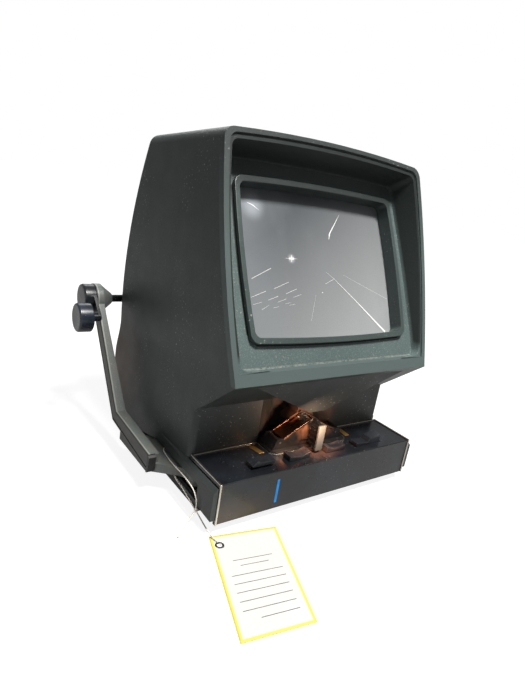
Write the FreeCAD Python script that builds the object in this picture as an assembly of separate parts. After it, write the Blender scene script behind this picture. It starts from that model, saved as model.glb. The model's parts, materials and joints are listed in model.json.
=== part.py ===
"""Desk-top viewer for editing 8 mm film, with a hooded screen and two folding reel arms.

Millimetres, +Z up, +Y towards the back.  The origin is on the table, under the middle of the viewer
with its arms folded back.
"""
import FreeCAD
import Part
import math
import os

V = FreeCAD.Vector
X_AXIS = V(1, 0, 0)
Y_AXIS = V(0, 1, 0)
Z_AXIS = V(0, 0, 1)

# ---- driving dimensions -------------------------------------------------------------------------
RUNNING_FIT = 0.06          # radial, shaft in a hole it turns in
LOCATING_FIT = 0.02         # radial, parts pressed or glued together
PANEL_GAP = 0.3             # covers and inserts in their openings
SLIDE_GAP = 0.3             # sliding pieces beside their guides

HALF_W = 100.0              # housing, half width of neck and body
WALL = 4.0                  # housing wall
FLOOR_Z = 12.0              # lower edge of the housing
DECK_Z = 40.0               # top of the control deck
SIDE_TOP_Z = 37.0           # top of the side walls beside the deck
FLARE = 3.5                 # side walls stand out this much at the front
FLARE_LEN = 97.0            # and run back into the body here
NECK_SIDE_Y = 42.2          # foot of the neck wall at the sides
NECK_MID_Y = 43.5           # foot of the neck wall beside the gate recess
NECK_CORNER_R = 6.0         # neck's front corners
RECESS_HALF = 39.0          # gate recess, half width at its mouth
RECESS_BACK_HALF = 16.0     # gate recess, half width at its back
RECESS_BACK_Y = 60.0
NECK_Y = 41.5               # neck wall in the side view
NECK_TOP_Z = 78.0           # where the neck meets the hood's underside
RIM_LOW_Y = 2.4             # hood rim, lower edge
RIM_LOW_Z = 110.2
RIM_LOW_HALF = 97.5
NECK_WAIST = 0.8            # the neck draws in this much at its top
RIM_TOP_Y = 57.0            # hood rim, upper edge at the corners
RIM_TOP_Z = 268.2
RIM_TOP_HALF = 96.8
SIDE_CROWN = 3.8            # outward bow of the hood's sides
TOP_CROWN = 4.4             # upward bow of the hood's top
HOOD_CORNER_R = 9.0
BACK_TOP_Y = 172.0          # rear wall, upper end
BACK_TOP_Z = 259.0
BACK_LOW_Y = 207.0          # rear wall, lower end, where the tail curve starts
BACK_LOW_Z = 76.0
BACK_BULGE = 4.2
BACK_EDGE_R = 8.0
COVER_HALF = 55.0           # vented panel on the rear wall
COVER_LOW_Z = 92.0
COVER_TOP_Z = 202.0
COVER_T = 2.5
COVER_LAP = 8.0             # panel beyond its opening, each way
GLAND_X = 62.0              # mains cord inlet
GLAND_Z = 72.0
GLAND_R = 6.0
GLAND_BORE_R = 2.8
VENTS = 8                   # rows of slots in the panel
VENT_PITCH = 9.0
VENT_T = 3.6

LIP_H = 8.0                 # hood's lower lip, height of its front
LIP_T = 5.0
MASK_LOW_BACK = 10.3        # screen panel's lower edge, behind, above and inside the rim's
MASK_LOW_INSET = 7.9
MASK_TOP_BACK = 19.0        # screen panel's upper edge, behind, below and inside the rim's
MASK_TOP_DROP = 17.8
MASK_TOP_INSET = 10.8
MASK_T = 8.0
BEZEL_SET_BACK = 1.5        # bezel front behind the rim
BEZEL_LIP = 1.2             # bezel wall at its front edge
SCREEN_INSET = 10.7         # visible screen inside the panel, at each side, its foot and its head
SCREEN_FOOT = 18.6
SCREEN_HEAD = 15.5
RING_W = 4.0                # raised ring round the screen
RING_RISE = 4.0
SCREEN_T = 2.5
SCREEN_LAP = 3.0            # screen behind the ring, each way
SCREEN_BOW = 1.6            # outward bow of the screen's edges
SCREEN_CORNER = 5.0

DECK_T = 2.5
FRONT_LOW_Z = 8.0           # lower edge of the front panel
TRIM_W = 1.5
TRIM_T = 0.9
GATE_FRONT_Y = 21.2         # film gate's front
GATE_CORNER = 3.5
GATE_RISE = 1.6             # gate's base above the deck
GATE_LOW_Z = 30.0

SLOT_FRONT_Y = 22.5         # side slots for the reel arms
SLOT_REAR_Y = 140.0
SLOT_LOW_Z = 14.4
SLOT_FRONT_Z = 28.0
SLOT_MID_Y = 98.0
SLOT_MID_Z = 25.2

TRAY_T = 2.5
TRAY_LOW_Z = 2.0
TRAY_FRONT_Y = 26.0
TRAY_INSET = 2.5
FOOT_R = 8.0
FOOT_INSET = 22.0
FOOT_FRONT_Y = 42.0
FOOT_REAR_Y = 134.0
SCREW_HEAD_R = 3.0
SCREW_SHANK_R = 1.5
SCREW_HOLE_R = 1.8
SCREW_LEN = 6.0
POST_R = 3.6                # screw posts
POST_X = 33.0
POST_FRONT_Y = 9.0
POST_REAR_Y = 128.0
SHELF_Y = 120.0             # housing floor behind this line

PIN_INSET = 10.0            # reel arm pivot inside the housing's side
PIN_Y = 43.0
PIN_R = 3.5
PIN_HEAD_R = 5.8
HUB_R = 9.0
PLATE_LOW_Z = 16.5
PLATE_TOP_Z = 24.0
ARM_STAND_OFF = 22.0        # reel arm's outer face beyond the housing's side
ARM_T = 9.0
ARM_LOW_HALF = 7.0          # half width at its low end, its bend and its top
ARM_BEND_HALF = 5.3
ARM_TOP_HALF = 6.2
ARM_TOP_T = 6.5
ARM_SET_BACK = 3.3          # the arm's middle behind the spindle's axis
ARM_EDGE_R = 1.0
ARM_GROOVE = 2.0            # groove from the arm's rear edge
ARM_GROOVE_W = 1.2
ARM_GROOVE_DEPTH = 0.8
PLUG_T = 5.4
ARM_LOW_Y = 66.0
ARM_LOW_Z = 25.0
ARM_BEND_Y = 137.0
ARM_BEND_Z = 30.6
AXIS_Y = 206.6              # spindle axis with the arm folded back
AXIS_Z = 115.0
BOSS_R = 13.3
BOSS_T = 7.5
CONE_T = 9.0
CONE_TIP_R = 4.9
BUSH_R = 4.2
SPINDLE_R = 3.3
SPINDLE_LEN = 56.0          # from the arm's outer face inwards
CRANK_GAP = 0.4
CAP_R = 12.9
CAP_T = 10.2
LEVER_T = 2.6
THROW = 25.9                # crank centre to knob centre
KNOB_DROP = 24.3            # degrees the crank points below level, towards the front
STUB_R = 3.6
STUB_T = 8.2
KNOB_PIN_R = 2.4
KNOB_R = 12.5
KNOB_T = 12.7

GATE_Y = 33.0               # film centre line
TRACK_HALF_W = 8.0          # film track, half width
APEX_Z = 63.6
TRACK_END_X = 27.0
TRACK_END_Z = 50.0
TRACK_T = 1.2
TRACK_LIP = 0.7             # raised edges of the track
DRUM_Z = 55.8
DRUM_R = 6.4
TOOTH_H = 0.7
DRUM_SHAFT_R = 1.5
WINDOW_HALF = 7.1
LIGHT_R = 6.0               # light passage under the film
PLATE_HALF = 9.0            # aperture plate
FRAME_SHIFT = 1.0
FRAME_PLATE_T = 1.2
FRAME_PLATE_Z = 44.6
CONDENSER_R = 6.8
CONDENSER_Z = 35.0
CONDENSER_T = 3.0
CHEEK_T = 1.8
CHEEK_FOOT_X = 37.8         # guide block's outer face, at its foot and at its top
CHEEK_TOP_X = 33.4
CHEEK_TOP_Z = 50.2
SOCKET_R = 7.0
BULB_BASE_R = 3.5
BULB_R = 5.0
BULB_Z = 23.8
HOUSE_T = 1.0
HOUSE_HALF = 15.0
HOUSE_FRONT = 10.0
SOCKET_H = 6.0
ROLLER_R = 2.5
ROLLER_X = 30.0
ROLLER_Z = 47.2
ROLLER_PIN_R = 1.0
FIN_X = -1.0
FIN_HALF_T = 2.6
FIN_FRONT_Y = 11.0
FIN_LOW_Z = 43.0
FIN_TOP_Z = 64.0
STRIP_HALF_W = 3.5
STRIP_T = 1.6
FIN_RIBS = 5
FIN_RIB_PITCH = 4.2
FIN_RIB_T = 1.4
FIN_STEM_HALF = 1.8         # fin's stem through the deck
FIN_STEM_LEN = 2.2
FIN_TRAVEL = 2.0

KEEL_HALF = 76.0            # light funnel under the hood
KEEL_TIP_HALF = 8.0
KEEL_TIP_Y = 21.5
KEEL_TIP_Z = 72.0
KEEL_WALL = 2.5
HOLDER_HALF = 5.5
HOLDER_Y0 = 38.5
HOLDER_Y1 = 51.0
HOLDER_Z0 = 57.0
SHOE_HALF = 13.0            # film shoe under the lens holder
SHOE_RISE = 3.2             # its top above the track
BARREL_R = 7.5
BARREL_LOW_Z = 84.0
BARREL_LEN = 22.0
SLEEVE_T = 2.0
MIRROR1_Z = 122.0
MIRROR2_Y = 176.0
MIRROR2_Z = 150.0
MIRROR_T = 2.0
MIRROR1_HALF_W = 14.0
MIRROR1_HALF_L = 16.0
MIRROR2_HALF_W = 66.0
MIRROR2_HALF_H = 50.0
RAIL_W = 6.0
MIRROR2_TILT = -2.0          # degrees, top leaning back
COIL_X = 54.0
COIL_Y = 88.0
COIL_HALF_X = 20.0
COIL_HALF_Y = 16.0
COIL_H = 34.0
BOBBIN_HALF_Y = 22.0

TAB_HALF = 10.2
TAB_DEPTH = 9.0
TAB_RISE = 0.3
TAB_Y = 12.5                # the four controls stand in a row
MARK_INSET = 43.0           # mark tab from the left side, lamp switch from the right
FOCUS_X = -22.2
FRAME_X = 16.0
LAMP_INSET = 45.5
TAB_TRAVEL = 2.5
MARK_TRAVEL = 1.8
ROCK_DEG = 8.0
ROCK_DROP = 6.0             # rocker's pin under the deck's face
ROCK_PIN_R = 1.5
STEM_HALF_X = 4.0           # controls' stems through the deck
STEM_HALF_Y = 2.5
LAMP_HALF_X = 14.0

STRING_R = 0.45             # string of the hanging tag
KNOT_R = 1.7
KNOT_X = -104.2
KNOT_Y = 18.0
KNOT_Z = 10.0
TAG_T = 0.5
TAG_Z = 0.2
TAG_HOLE_X = -100.6
TAG_HOLE_Y = -11.6
EYELET_R = 2.0

REAR_Y = AXIS_Y + BOSS_R
MASK_LOW_Y = RIM_LOW_Y + MASK_LOW_BACK
MASK_LOW_Z = RIM_LOW_Z + LIP_H
MASK_LOW_HALF = RIM_LOW_HALF - MASK_LOW_INSET
MASK_TOP_Y = RIM_TOP_Y + MASK_TOP_BACK
MASK_TOP_Z = RIM_TOP_Z - MASK_TOP_DROP
MASK_TOP_HALF = RIM_TOP_HALF - MASK_TOP_INSET
SCREEN_HALF = MASK_TOP_HALF - SCREEN_INSET
SCREEN_LOW_Z = MASK_LOW_Z + SCREEN_FOOT
SCREEN_TOP_Z = MASK_TOP_Z - SCREEN_HEAD
PIN_X = HALF_W - PIN_INSET
FOOT_X = HALF_W - FOOT_INSET
ARM_OUT_X = HALF_W + ARM_STAND_OFF
SPINDLE_TIP_X = ARM_OUT_X - SPINDLE_LEN
MARK_X = MARK_INSET - HALF_W
LAMP_X = HALF_W - LAMP_INSET
ORIGIN_Y = (REAR_Y - TRIM_T) / 2.0
ROCK_Z = DECK_Z - ROCK_DROP
GATE_HALF = RECESS_HALF + PANEL_GAP
GATE_PLAN = [(-GATE_HALF, NECK_MID_Y), (-GATE_HALF, GATE_FRONT_Y + GATE_CORNER),
             (GATE_CORNER - GATE_HALF, GATE_FRONT_Y), (GATE_HALF - GATE_CORNER, GATE_FRONT_Y),
             (GATE_HALF, GATE_FRONT_Y + GATE_CORNER), (GATE_HALF, NECK_MID_Y)]


# ---- helpers ------------------------------------------------------------------------------------
def box(x0, x1, y0, y1, z0, z1):
    return Part.makeBox(x1 - x0, y1 - y0, z1 - z0, V(x0, y0, z0))


def rod(radius, start, axis, length):
    return Part.makeCylinder(radius, length, start, axis)


def tube(outer, inner, start, axis, length):
    return rod(outer, start, axis, length).cut(rod(inner, start, axis, length))


def plan_prism(points, z0, z1):
    """Prism of a plan outline given as (x, y) pairs."""
    outline = [V(x, y, z0) for x, y in points]
    return Part.Face(Part.makePolygon(outline + outline[:1])).extrude(V(0, 0, z1 - z0))


def side_prism(points, x0, x1):
    """Prism of a side outline given as (y, z) pairs."""
    outline = [V(x0, y, z) for y, z in points]
    return Part.Face(Part.makePolygon(outline + outline[:1])).extrude(V(x1 - x0, 0, 0))


def front_prism(points, y0, y1):
    """Prism of a front outline given as (x, z) pairs."""
    outline = [V(x, y0, z) for x, z in points]
    return Part.Face(Part.makePolygon(outline + outline[:1])).extrude(V(0, y1 - y0, 0))


def line(start, end):
    return Part.LineSegment(start, end).toShape()


def arc(start, middle, end):
    return Part.Arc(start, middle, end).toShape()


def mirrored(shape):
    return shape.mirror(V(0, 0, 0), X_AXIS)


def rounded(shape, radius, chosen):
    """Round the edges that the test picks by their middle point and direction."""
    edges = []
    for edge in shape.Edges:
        middle = edge.valueAt((edge.FirstParameter + edge.LastParameter) / 2.0)
        along = edge.tangentAt((edge.FirstParameter + edge.LastParameter) / 2.0)
        if chosen(middle, along):
            edges.append(edge)
    result = shape.makeFillet(radius, edges)
    result.fix(0.01, 0.001, 0.01)
    return result.Solids[0]


# ---- housing ------------------------------------------------------------------------------------
def rear_circle():
    """Centre and radius of the bowed rear wall, as (y, z, radius)."""
    top = V(0, BACK_TOP_Y, BACK_TOP_Z)
    low = V(0, BACK_LOW_Y, BACK_LOW_Z)
    chord = top.sub(low)
    normal = V(0, chord.z, -chord.y).normalize()
    middle = top.add(low).multiply(0.5).add(normal.multiply(BACK_BULGE))
    circle = Part.Arc(low, middle, top).toShape().Curve
    return circle.Center.y, circle.Center.z, circle.Radius


def rear_y(z):
    """Outer face of the rear wall at this height."""
    centre_y, centre_z, radius = rear_circle()
    return centre_y + math.sqrt(radius ** 2 - (z - centre_z) ** 2)


def tail_circle():
    """Centre and radius of the tail curve, from the rear wall round to the lower edge."""
    centre_y, centre_z, radius = rear_circle()
    inward_y = (centre_y - BACK_LOW_Y) / radius
    inward_z = (centre_z - BACK_LOW_Z) / radius
    tail_r = (BACK_LOW_Z - FLOOR_Z) / (1 - inward_z)
    return BACK_LOW_Y + tail_r * inward_y, BACK_LOW_Z + tail_r * inward_z, tail_r


def tail_point(degrees):
    """Point on the tail curve, from level with its centre (0) to straight under it (90)."""
    centre_y, centre_z, radius = tail_circle()
    angle = math.radians(degrees)
    return V(0, centre_y + radius * math.cos(angle), centre_z - radius * math.sin(angle))


def rim_slope():
    return (RIM_TOP_Y - RIM_LOW_Y) / (RIM_TOP_Z - RIM_LOW_Z)


def side_outline():
    """Closed side outline of hood, neck and body, open above the hood's crown."""
    head_z = RIM_TOP_Z + 3 * TOP_CROWN
    rim_low = V(0, RIM_LOW_Y, RIM_LOW_Z)
    rim_head = V(0, RIM_LOW_Y + rim_slope() * (head_z - RIM_LOW_Z), head_z)
    back_head = V(0, rear_y(head_z), head_z)
    back_mid = V(0, rear_y((head_z + BACK_LOW_Z) / 2), (head_z + BACK_LOW_Z) / 2)
    back_low = V(0, BACK_LOW_Y, BACK_LOW_Z)
    tail_mid = tail_point(45)
    tail_low = tail_point(90)
    front_low = V(0, 0, FLOOR_Z)
    front_high = V(0, 0, SIDE_TOP_Z)
    neck_low = V(0, NECK_Y, SIDE_TOP_Z)
    neck_top = V(0, NECK_Y, NECK_TOP_Z)
    return Part.Wire([line(rim_low, rim_head), line(rim_head, back_head), arc(back_head, back_mid, back_low),
                      arc(back_low, tail_mid, tail_low), line(tail_low, front_low),
                      line(front_low, front_high), line(front_high, neck_low), line(neck_low, neck_top),
                      line(neck_top, rim_low)])


def through(start, middle, end):
    """Circle through three points of the front outline, as centre and radius."""
    circle = Part.Arc(start, middle, end).toShape().Curve
    return circle.Center, circle.Radius


def crown_corner(side_start, side_middle, side_end, top_middle, radius):
    """Corner arc that touches the bowed side and the bowed top, as three points."""
    side_centre, side_r = through(side_start, side_middle, side_end)
    far_end = V(-side_end.x, 0, side_end.z)
    top_centre, top_r = through(side_end, top_middle, far_end)
    inner_side = Part.Circle(side_centre, Y_AXIS, side_r - radius)
    inner_top = Part.Circle(top_centre, Y_AXIS, top_r - radius)
    crossings = [V(p.X, p.Y, p.Z) for p in inner_side.intersectCC(inner_top)]
    centre = min(crossings, key=lambda p: p.sub(side_end).Length)
    low = centre.add(centre.sub(side_centre).normalize().multiply(radius))
    high = centre.add(centre.sub(top_centre).normalize().multiply(radius))
    outward = low.add(high).multiply(0.5).sub(centre).normalize()
    return low, centre.add(outward.multiply(radius)), high


def front_outline(inset):
    """Closed front outline: straight neck, bowed hood sides and bowed top, smaller by the inset."""
    mid_z = (RIM_LOW_Z + RIM_TOP_Z) / 2
    mid_x = (RIM_LOW_HALF + RIM_TOP_HALF) / 2 + SIDE_CROWN
    foot_z = FLOOR_Z - WALL
    top_z = RIM_TOP_Z - inset
    half = RIM_TOP_HALF - inset
    crown = V(0, 0, top_z + TOP_CROWN)
    edges = []
    ends = []
    for side in (-1, 1):
        foot = V(side * (HALF_W - inset), 0, foot_z)
        knee = V(side * (HALF_W - inset), 0, SIDE_TOP_Z)
        neck = V(side * (HALF_W - NECK_WAIST - inset), 0, NECK_TOP_Z)
        rim = V(side * (RIM_LOW_HALF - inset), 0, RIM_LOW_Z)
        middle = V(side * (mid_x - inset), 0, mid_z)
        top = V(side * half, 0, top_z)
        low, bend, high = crown_corner(rim, middle, top, crown, HOOD_CORNER_R - inset / 2)
        bow = arc(rim, middle, low)
        start = bow.tangentAt(bow.FirstParameter)
        sway = Part.BSplineCurve()
        sway.interpolate(Points=[knee, neck, rim], InitialTangent=V(0, 0, 1), FinalTangent=start)
        edges += [line(foot, knee), sway.toShape(), bow, arc(low, bend, high)]
        ends.append(high)
    edges.append(arc(ends[0], crown, ends[1]))
    edges.append(line(V(inset - HALF_W, 0, foot_z), V(HALF_W - inset, 0, foot_z)))
    return Part.Wire(Part.__sortEdges__(edges))


def neck_recess(grow):
    """Room in front of the slanting neck walls, with the gate recess, grown by a wall."""
    points = [(-HALF_W - 20, -20), (HALF_W + 20, -20), (HALF_W + 20, NECK_SIDE_Y),
              (RECESS_HALF, NECK_MID_Y), (RECESS_BACK_HALF, RECESS_BACK_Y),
              (-RECESS_BACK_HALF, RECESS_BACK_Y), (-RECESS_HALF, NECK_MID_Y),
              (-HALF_W - 20, NECK_SIDE_Y)]
    prism = plan_prism(points, SIDE_TOP_Z - grow, NECK_TOP_Z + grow)
    if grow:
        outline = [V(x, y, SIDE_TOP_Z - grow) for x, y in points]
        wire = Part.makePolygon(outline + outline[:1]).makeOffset2D(grow, 2)
        prism = Part.Face(wire).extrude(V(0, 0, NECK_TOP_Z - SIDE_TOP_Z + 2 * grow))
    return prism


def neck_corner():
    """Cutter that rounds the neck's front corner, drawn for the right side."""
    centre_x = HALF_W - NECK_CORNER_R
    front_y = neck_foot_y(centre_x) - 0.2
    centre_y = front_y + NECK_CORNER_R
    height = NECK_TOP_Z - SIDE_TOP_Z
    corner = box(centre_x, HALF_W + 20, front_y, centre_y, SIDE_TOP_Z, NECK_TOP_Z)
    corner = corner.cut(rod(NECK_CORNER_R, V(centre_x, centre_y, SIDE_TOP_Z), Z_AXIS, height))
    under_hood = side_prism([(0, 0), (NECK_Y + 20, 0), (NECK_Y + 20, underside_z(NECK_Y + 20)),
                             (0, underside_z(0))], 0, HALF_W + 30)
    return corner.common(under_hood)


def body_solid(inset):
    """Solid hood, neck and body, smaller by the inset all round."""
    side = side_outline()
    front = front_outline(inset)
    if inset:
        side = side.makeOffset2D(-inset, 2)
    width = 2 * (HALF_W + 20)
    side.translate(V(-width / 2, 0, 0))
    profile = Part.Face(side).extrude(V(width, 0, 0))
    slope = (BACK_TOP_Z - RIM_TOP_Z) / (BACK_TOP_Y - RIM_TOP_Y)
    reach = BACK_LOW_Y + 60
    front.translate(V(0, -20, -slope * (RIM_TOP_Y + 20)))
    section = Part.Face(front).extrude(V(0, reach, slope * reach))
    return profile.common(section)


def to_the_rim(form):
    """The hollow form with its flat front carried forward, past the rim."""
    normal = V(0, -1, rim_slope()).normalize()
    front = [f for f in form.Faces if f.normalAt(0, 0).dot(normal) > 0.999 and f.CenterOfMass.z > RIM_LOW_Z]
    return form.fuse(front[0].extrude(normal.multiply(2 * WALL)))


def rounded_body():
    """The outer form, with its rear edges rounded."""
    body = body_solid(0)
    return rounded(body, BACK_EDGE_R, back_edge)


def back_edge(middle, along):
    """The edges round the rear wall, but not those that cross it."""
    top = middle.z > BACK_TOP_Z - 20
    side = abs(middle.x) > HALF_W / 2 and abs(along.x) < 0.9
    return middle.y > tail_point(90).y + 1 and middle.z > FLOOR_Z + 1 and (top or side)


def side_flares():
    """Walls that widen the body towards the front, beside the deck."""
    low = FLOOR_Z
    near = HALF_W - PANEL_GAP
    points = [(near, 0), (HALF_W + FLARE, 0), (HALF_W, FLARE_LEN), (near, FLARE_LEN)]
    wall = plan_prism(points, low, SIDE_TOP_Z)
    bevel = FLARE * 0.8
    cutter = front_prism([(HALF_W + FLARE + 1, SIDE_TOP_Z + 1), (HALF_W + FLARE - bevel, SIDE_TOP_Z + 1),
                          (HALF_W + FLARE - bevel, SIDE_TOP_Z), (HALF_W + FLARE, SIDE_TOP_Z - bevel),
                          (HALF_W + FLARE + 1, SIDE_TOP_Z - bevel)], -1, FLARE_LEN + 1)
    lean = math.degrees(math.atan(FLARE / FLARE_LEN))
    cutter.rotate(V(HALF_W + FLARE, 0, 0), Z_AXIS, lean)
    wall = wall.cut(cutter)
    return wall.fuse(mirrored(wall))


def arm_slots():
    points = [(SLOT_FRONT_Y, SLOT_LOW_Z), (SLOT_FRONT_Y, SLOT_FRONT_Z), (SLOT_MID_Y, SLOT_MID_Z),
              (SLOT_REAR_Y, SLOT_LOW_Z)]
    slot = side_prism(points, HALF_W - WALL - 4, HALF_W + FLARE + 1)
    return slot.fuse(mirrored(slot))


def lower_lip(grow):
    """Thick lower lip of the hood's rim, grown for the room it needs."""
    low = RIM_LOW_Z - 2
    high = RIM_LOW_Z + LIP_H + grow
    return side_prism([(rim_y(low, 0), low), (rim_y(high, 0), high), (rim_y(high, LIP_T + grow), high),
                       (rim_y(low, LIP_T + grow), low)], -HALF_W - 5, HALF_W + 5)


def hood_housing():
    inner = to_the_rim(body_solid(WALL)).cut([neck_recess(WALL), lower_lip(0)])
    under = box(-HALF_W + WALL, HALF_W - WALL, WALL, SHELF_Y, FLOOR_Z - 1, FLOOR_Z + WALL + 1)
    corner = neck_corner()
    outer = rounded_body().cut([neck_recess(0), corner, mirrored(corner)])
    shell = outer.fuse(side_flares()).cut(inner).cut(under)
    deck_room = box(-HALF_W + PANEL_GAP, HALF_W - PANEL_GAP, -1, NECK_Y + 0.01, FLOOR_Z - 3, SIDE_TOP_Z + 1)
    beam_hole = box(-22, 22, HOLDER_Y0 - 16, NECK_Y + 3, NECK_TOP_Z - 1, NECK_TOP_Z + 40)
    opening = box(-COVER_HALF + COVER_LAP, COVER_HALF - COVER_LAP, BACK_TOP_Y, BACK_LOW_Y + 10,
                  COVER_LOW_Z + COVER_LAP, COVER_TOP_Z - COVER_LAP)
    gland_hole = rod(GLAND_R + LOCATING_FIT, V(GLAND_X, BACK_LOW_Y - 20, GLAND_Z), Y_AXIS, 40)
    holes = [deck_room, arm_slots(), beam_hole, opening, gland_hole]
    holes += [screw_line(SCREW_SHANK_R + LOCATING_FIT, x, z, -20, 30) for x, z in cover_screw_places()]
    holes += [rod(SCREW_SHANK_R + LOCATING_FIT, V(side * POST_X, POST_REAR_Y, FLOOR_Z - 1), Z_AXIS, WALL + 2)
              for side in (-1, 1)]
    return shell.cut(holes)


def rim_y(z, depth):
    """Plane lying this far behind the rim's face, at this height."""
    slope = rim_slope()
    return RIM_LOW_Y + slope * (z - RIM_LOW_Z) + depth * math.sqrt(1 + slope ** 2)


# ---- screen -------------------------------------------------------------------------------------
def mask_slope():
    return (MASK_TOP_Y - MASK_LOW_Y) / (MASK_TOP_Z - MASK_LOW_Z)


def mask_point(x, z, depth):
    """Point at this height on the plane lying this far behind the screen panel's face."""
    slope = mask_slope()
    length = math.sqrt(1 + slope ** 2)
    y = MASK_LOW_Y + slope * (z - MASK_LOW_Z)
    return V(x, y + depth / length, z - depth * slope / length)


def framed_wire(low_half, top_half, low_z, top_z, bow, corner, depth):
    """Four bowed sides with rounded corners, drawn on the screen panel's plane."""
    def at(x, z):
        return mask_point(x, z, depth)
    slant = 0.29 * corner
    edges = []
    for side in (-1, 1):
        middle = at(side * ((low_half + top_half) / 2 + bow), (low_z + top_z) / 2)
        edges.append(arc(at(side * low_half, low_z + corner), middle, at(side * top_half, top_z - corner)))
        edges.append(arc(at(side * low_half, low_z + corner), at(side * (low_half - slant), low_z + slant),
                         at(side * (low_half - corner), low_z)))
        edges.append(arc(at(side * top_half, top_z - corner), at(side * (top_half - slant), top_z - slant),
                         at(side * (top_half - corner), top_z)))
    edges.append(arc(at(corner - low_half, low_z), at(0, low_z - bow), at(low_half - corner, low_z)))
    edges.append(arc(at(corner - top_half, top_z), at(0, top_z + bow), at(top_half - corner, top_z)))
    return Part.Wire(Part.__sortEdges__(edges))


def framed_plate(low_half, top_half, low_z, top_z, bow, corner, front, back):
    start = framed_wire(low_half, top_half, low_z, top_z, bow, corner, front)
    along = mask_point(0, 0, back).sub(mask_point(0, 0, front))
    return Part.Face(start).extrude(along)


def screen_opening(grow, front, back):
    return framed_plate(SCREEN_HALF + grow, SCREEN_HALF + grow, SCREEN_LOW_Z - grow, SCREEN_TOP_Z + grow,
                        SCREEN_BOW, SCREEN_CORNER + grow / 2, front, back)


def screen_mask():
    """Bezel: sloping walls from the rim to the flat panel that holds the screen."""
    outer = to_the_rim(body_solid(WALL + PANEL_GAP))
    low_z = RIM_LOW_Z - WALL
    high_z = RIM_TOP_Z + 3 * TOP_CROWN
    back_low = mask_point(0, low_z, MASK_T)
    back_high = mask_point(0, high_z, MASK_T)
    slab = side_prism([(rim_y(low_z, BEZEL_SET_BACK), low_z), (back_low.y, back_low.z),
                       (back_high.y, back_high.z), (rim_y(high_z, BEZEL_SET_BACK), high_z)],
                      -HALF_W - 30, HALF_W + 30)
    block = outer.common(slab)
    mouth_low = RIM_LOW_Z + LIP_H + BEZEL_LIP
    mouth_top = RIM_TOP_Z - WALL - BEZEL_LIP
    mouth = rim_wire(RIM_LOW_HALF - WALL - BEZEL_LIP, RIM_TOP_HALF - WALL - BEZEL_LIP, mouth_low, mouth_top)
    panel = framed_wire(MASK_LOW_HALF, MASK_TOP_HALF, MASK_LOW_Z, MASK_TOP_Z, SCREEN_BOW, 6.0, 0)
    throat = Part.makeLoft([mouth, panel], True, True)
    return block.cut([throat, screen_opening(RING_W / 2, -RING_RISE - 5, MASK_T + 5), lower_lip(PANEL_GAP)])


def rim_wire(low_half, top_half, low_z, top_z):
    """Bowed outline just ahead of the rim's plane."""
    def at(x, z):
        return V(x, rim_y(z, -0.5), z)
    corner = 6.0
    slant = 0.29 * corner
    edges = []
    for side in (-1, 1):
        middle = at(side * ((low_half + top_half) / 2 + SIDE_CROWN), (low_z + top_z) / 2)
        edges.append(arc(at(side * low_half, low_z + corner), middle, at(side * top_half, top_z - corner)))
        edges.append(arc(at(side * low_half, low_z + corner), at(side * (low_half - slant), low_z + slant),
                         at(side * (low_half - corner), low_z)))
        edges.append(arc(at(side * top_half, top_z - corner), at(side * (top_half - slant), top_z - slant),
                         at(side * (top_half - corner), top_z)))
    edges.append(arc(at(corner - low_half, low_z), at(0, low_z - SCREEN_BOW), at(low_half - corner, low_z)))
    crown = at(0, top_z + TOP_CROWN * 0.8)
    edges.append(arc(at(corner - top_half, top_z), crown, at(top_half - corner, top_z)))
    return Part.Wire(Part.__sortEdges__(edges))


def screen_ring():
    """Raised ring that clamps the screen in the panel."""
    outer = screen_opening(RING_W, -RING_RISE, 0)
    spigot = screen_opening(RING_W / 2 - PANEL_GAP, -RING_RISE, MASK_T)
    return outer.fuse(spigot).cut(screen_opening(0, -RING_RISE - 1, MASK_T + 1))


def screen():
    return screen_opening(SCREEN_LAP + RING_W / 2, MASK_T + 0.05, MASK_T + 0.05 + SCREEN_T)


# ---- deck ---------------------------------------------------------------------------------------
def neck_foot_y(x):
    """Foot of the slanting neck wall at this x."""
    run = HALF_W + 20 - RECESS_HALF
    return NECK_MID_Y - (NECK_MID_Y - NECK_SIDE_Y) * (abs(x) - RECESS_HALF) / run


def offset_band(points, width):
    """Closed outline of a band of this width along the left side of an open path."""
    far = []
    count = len(points)
    for i, (x, y) in enumerate(points):
        ahead = points[min(i + 1, count - 1)]
        before = points[max(i - 1, 0)]
        here = (x, y)
        d1 = unit(before, here) if i > 0 else unit(here, ahead)
        d2 = unit(here, ahead) if i < count - 1 else d1
        normal = (-(d1[1] + d2[1]), d1[0] + d2[0])
        size = math.hypot(*normal)
        spread = width / (size / 2) / (size / 2) / 2
        far.append((x + normal[0] * spread, y + normal[1] * spread))
    return points + far[::-1]


def unit(start, end):
    length = math.hypot(end[0] - start[0], end[1] - start[1])
    return ((end[0] - start[0]) / length, (end[1] - start[1]) / length)


def deck_plan():
    half = HALF_W - 2 * PANEL_GAP
    return [(-half, 0), (half, 0), (half, neck_foot_y(half) - PANEL_GAP),
            (RECESS_HALF, NECK_MID_Y - PANEL_GAP), (-RECESS_HALF, NECK_MID_Y - PANEL_GAP),
            (-half, neck_foot_y(half) - PANEL_GAP)]


def grown(points, gap):
    wire = Part.makePolygon([V(x, y, 0) for x, y in points + points[:1]])
    return [(v.X, v.Y) for v in wire.makeOffset2D(gap, 2).OrderedVertexes]


def tab_slot(x, y, half_x, half_y):
    return box(x - half_x, x + half_x, y - half_y, y + half_y, DECK_Z - DECK_T - 1, DECK_Z + 1)


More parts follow.
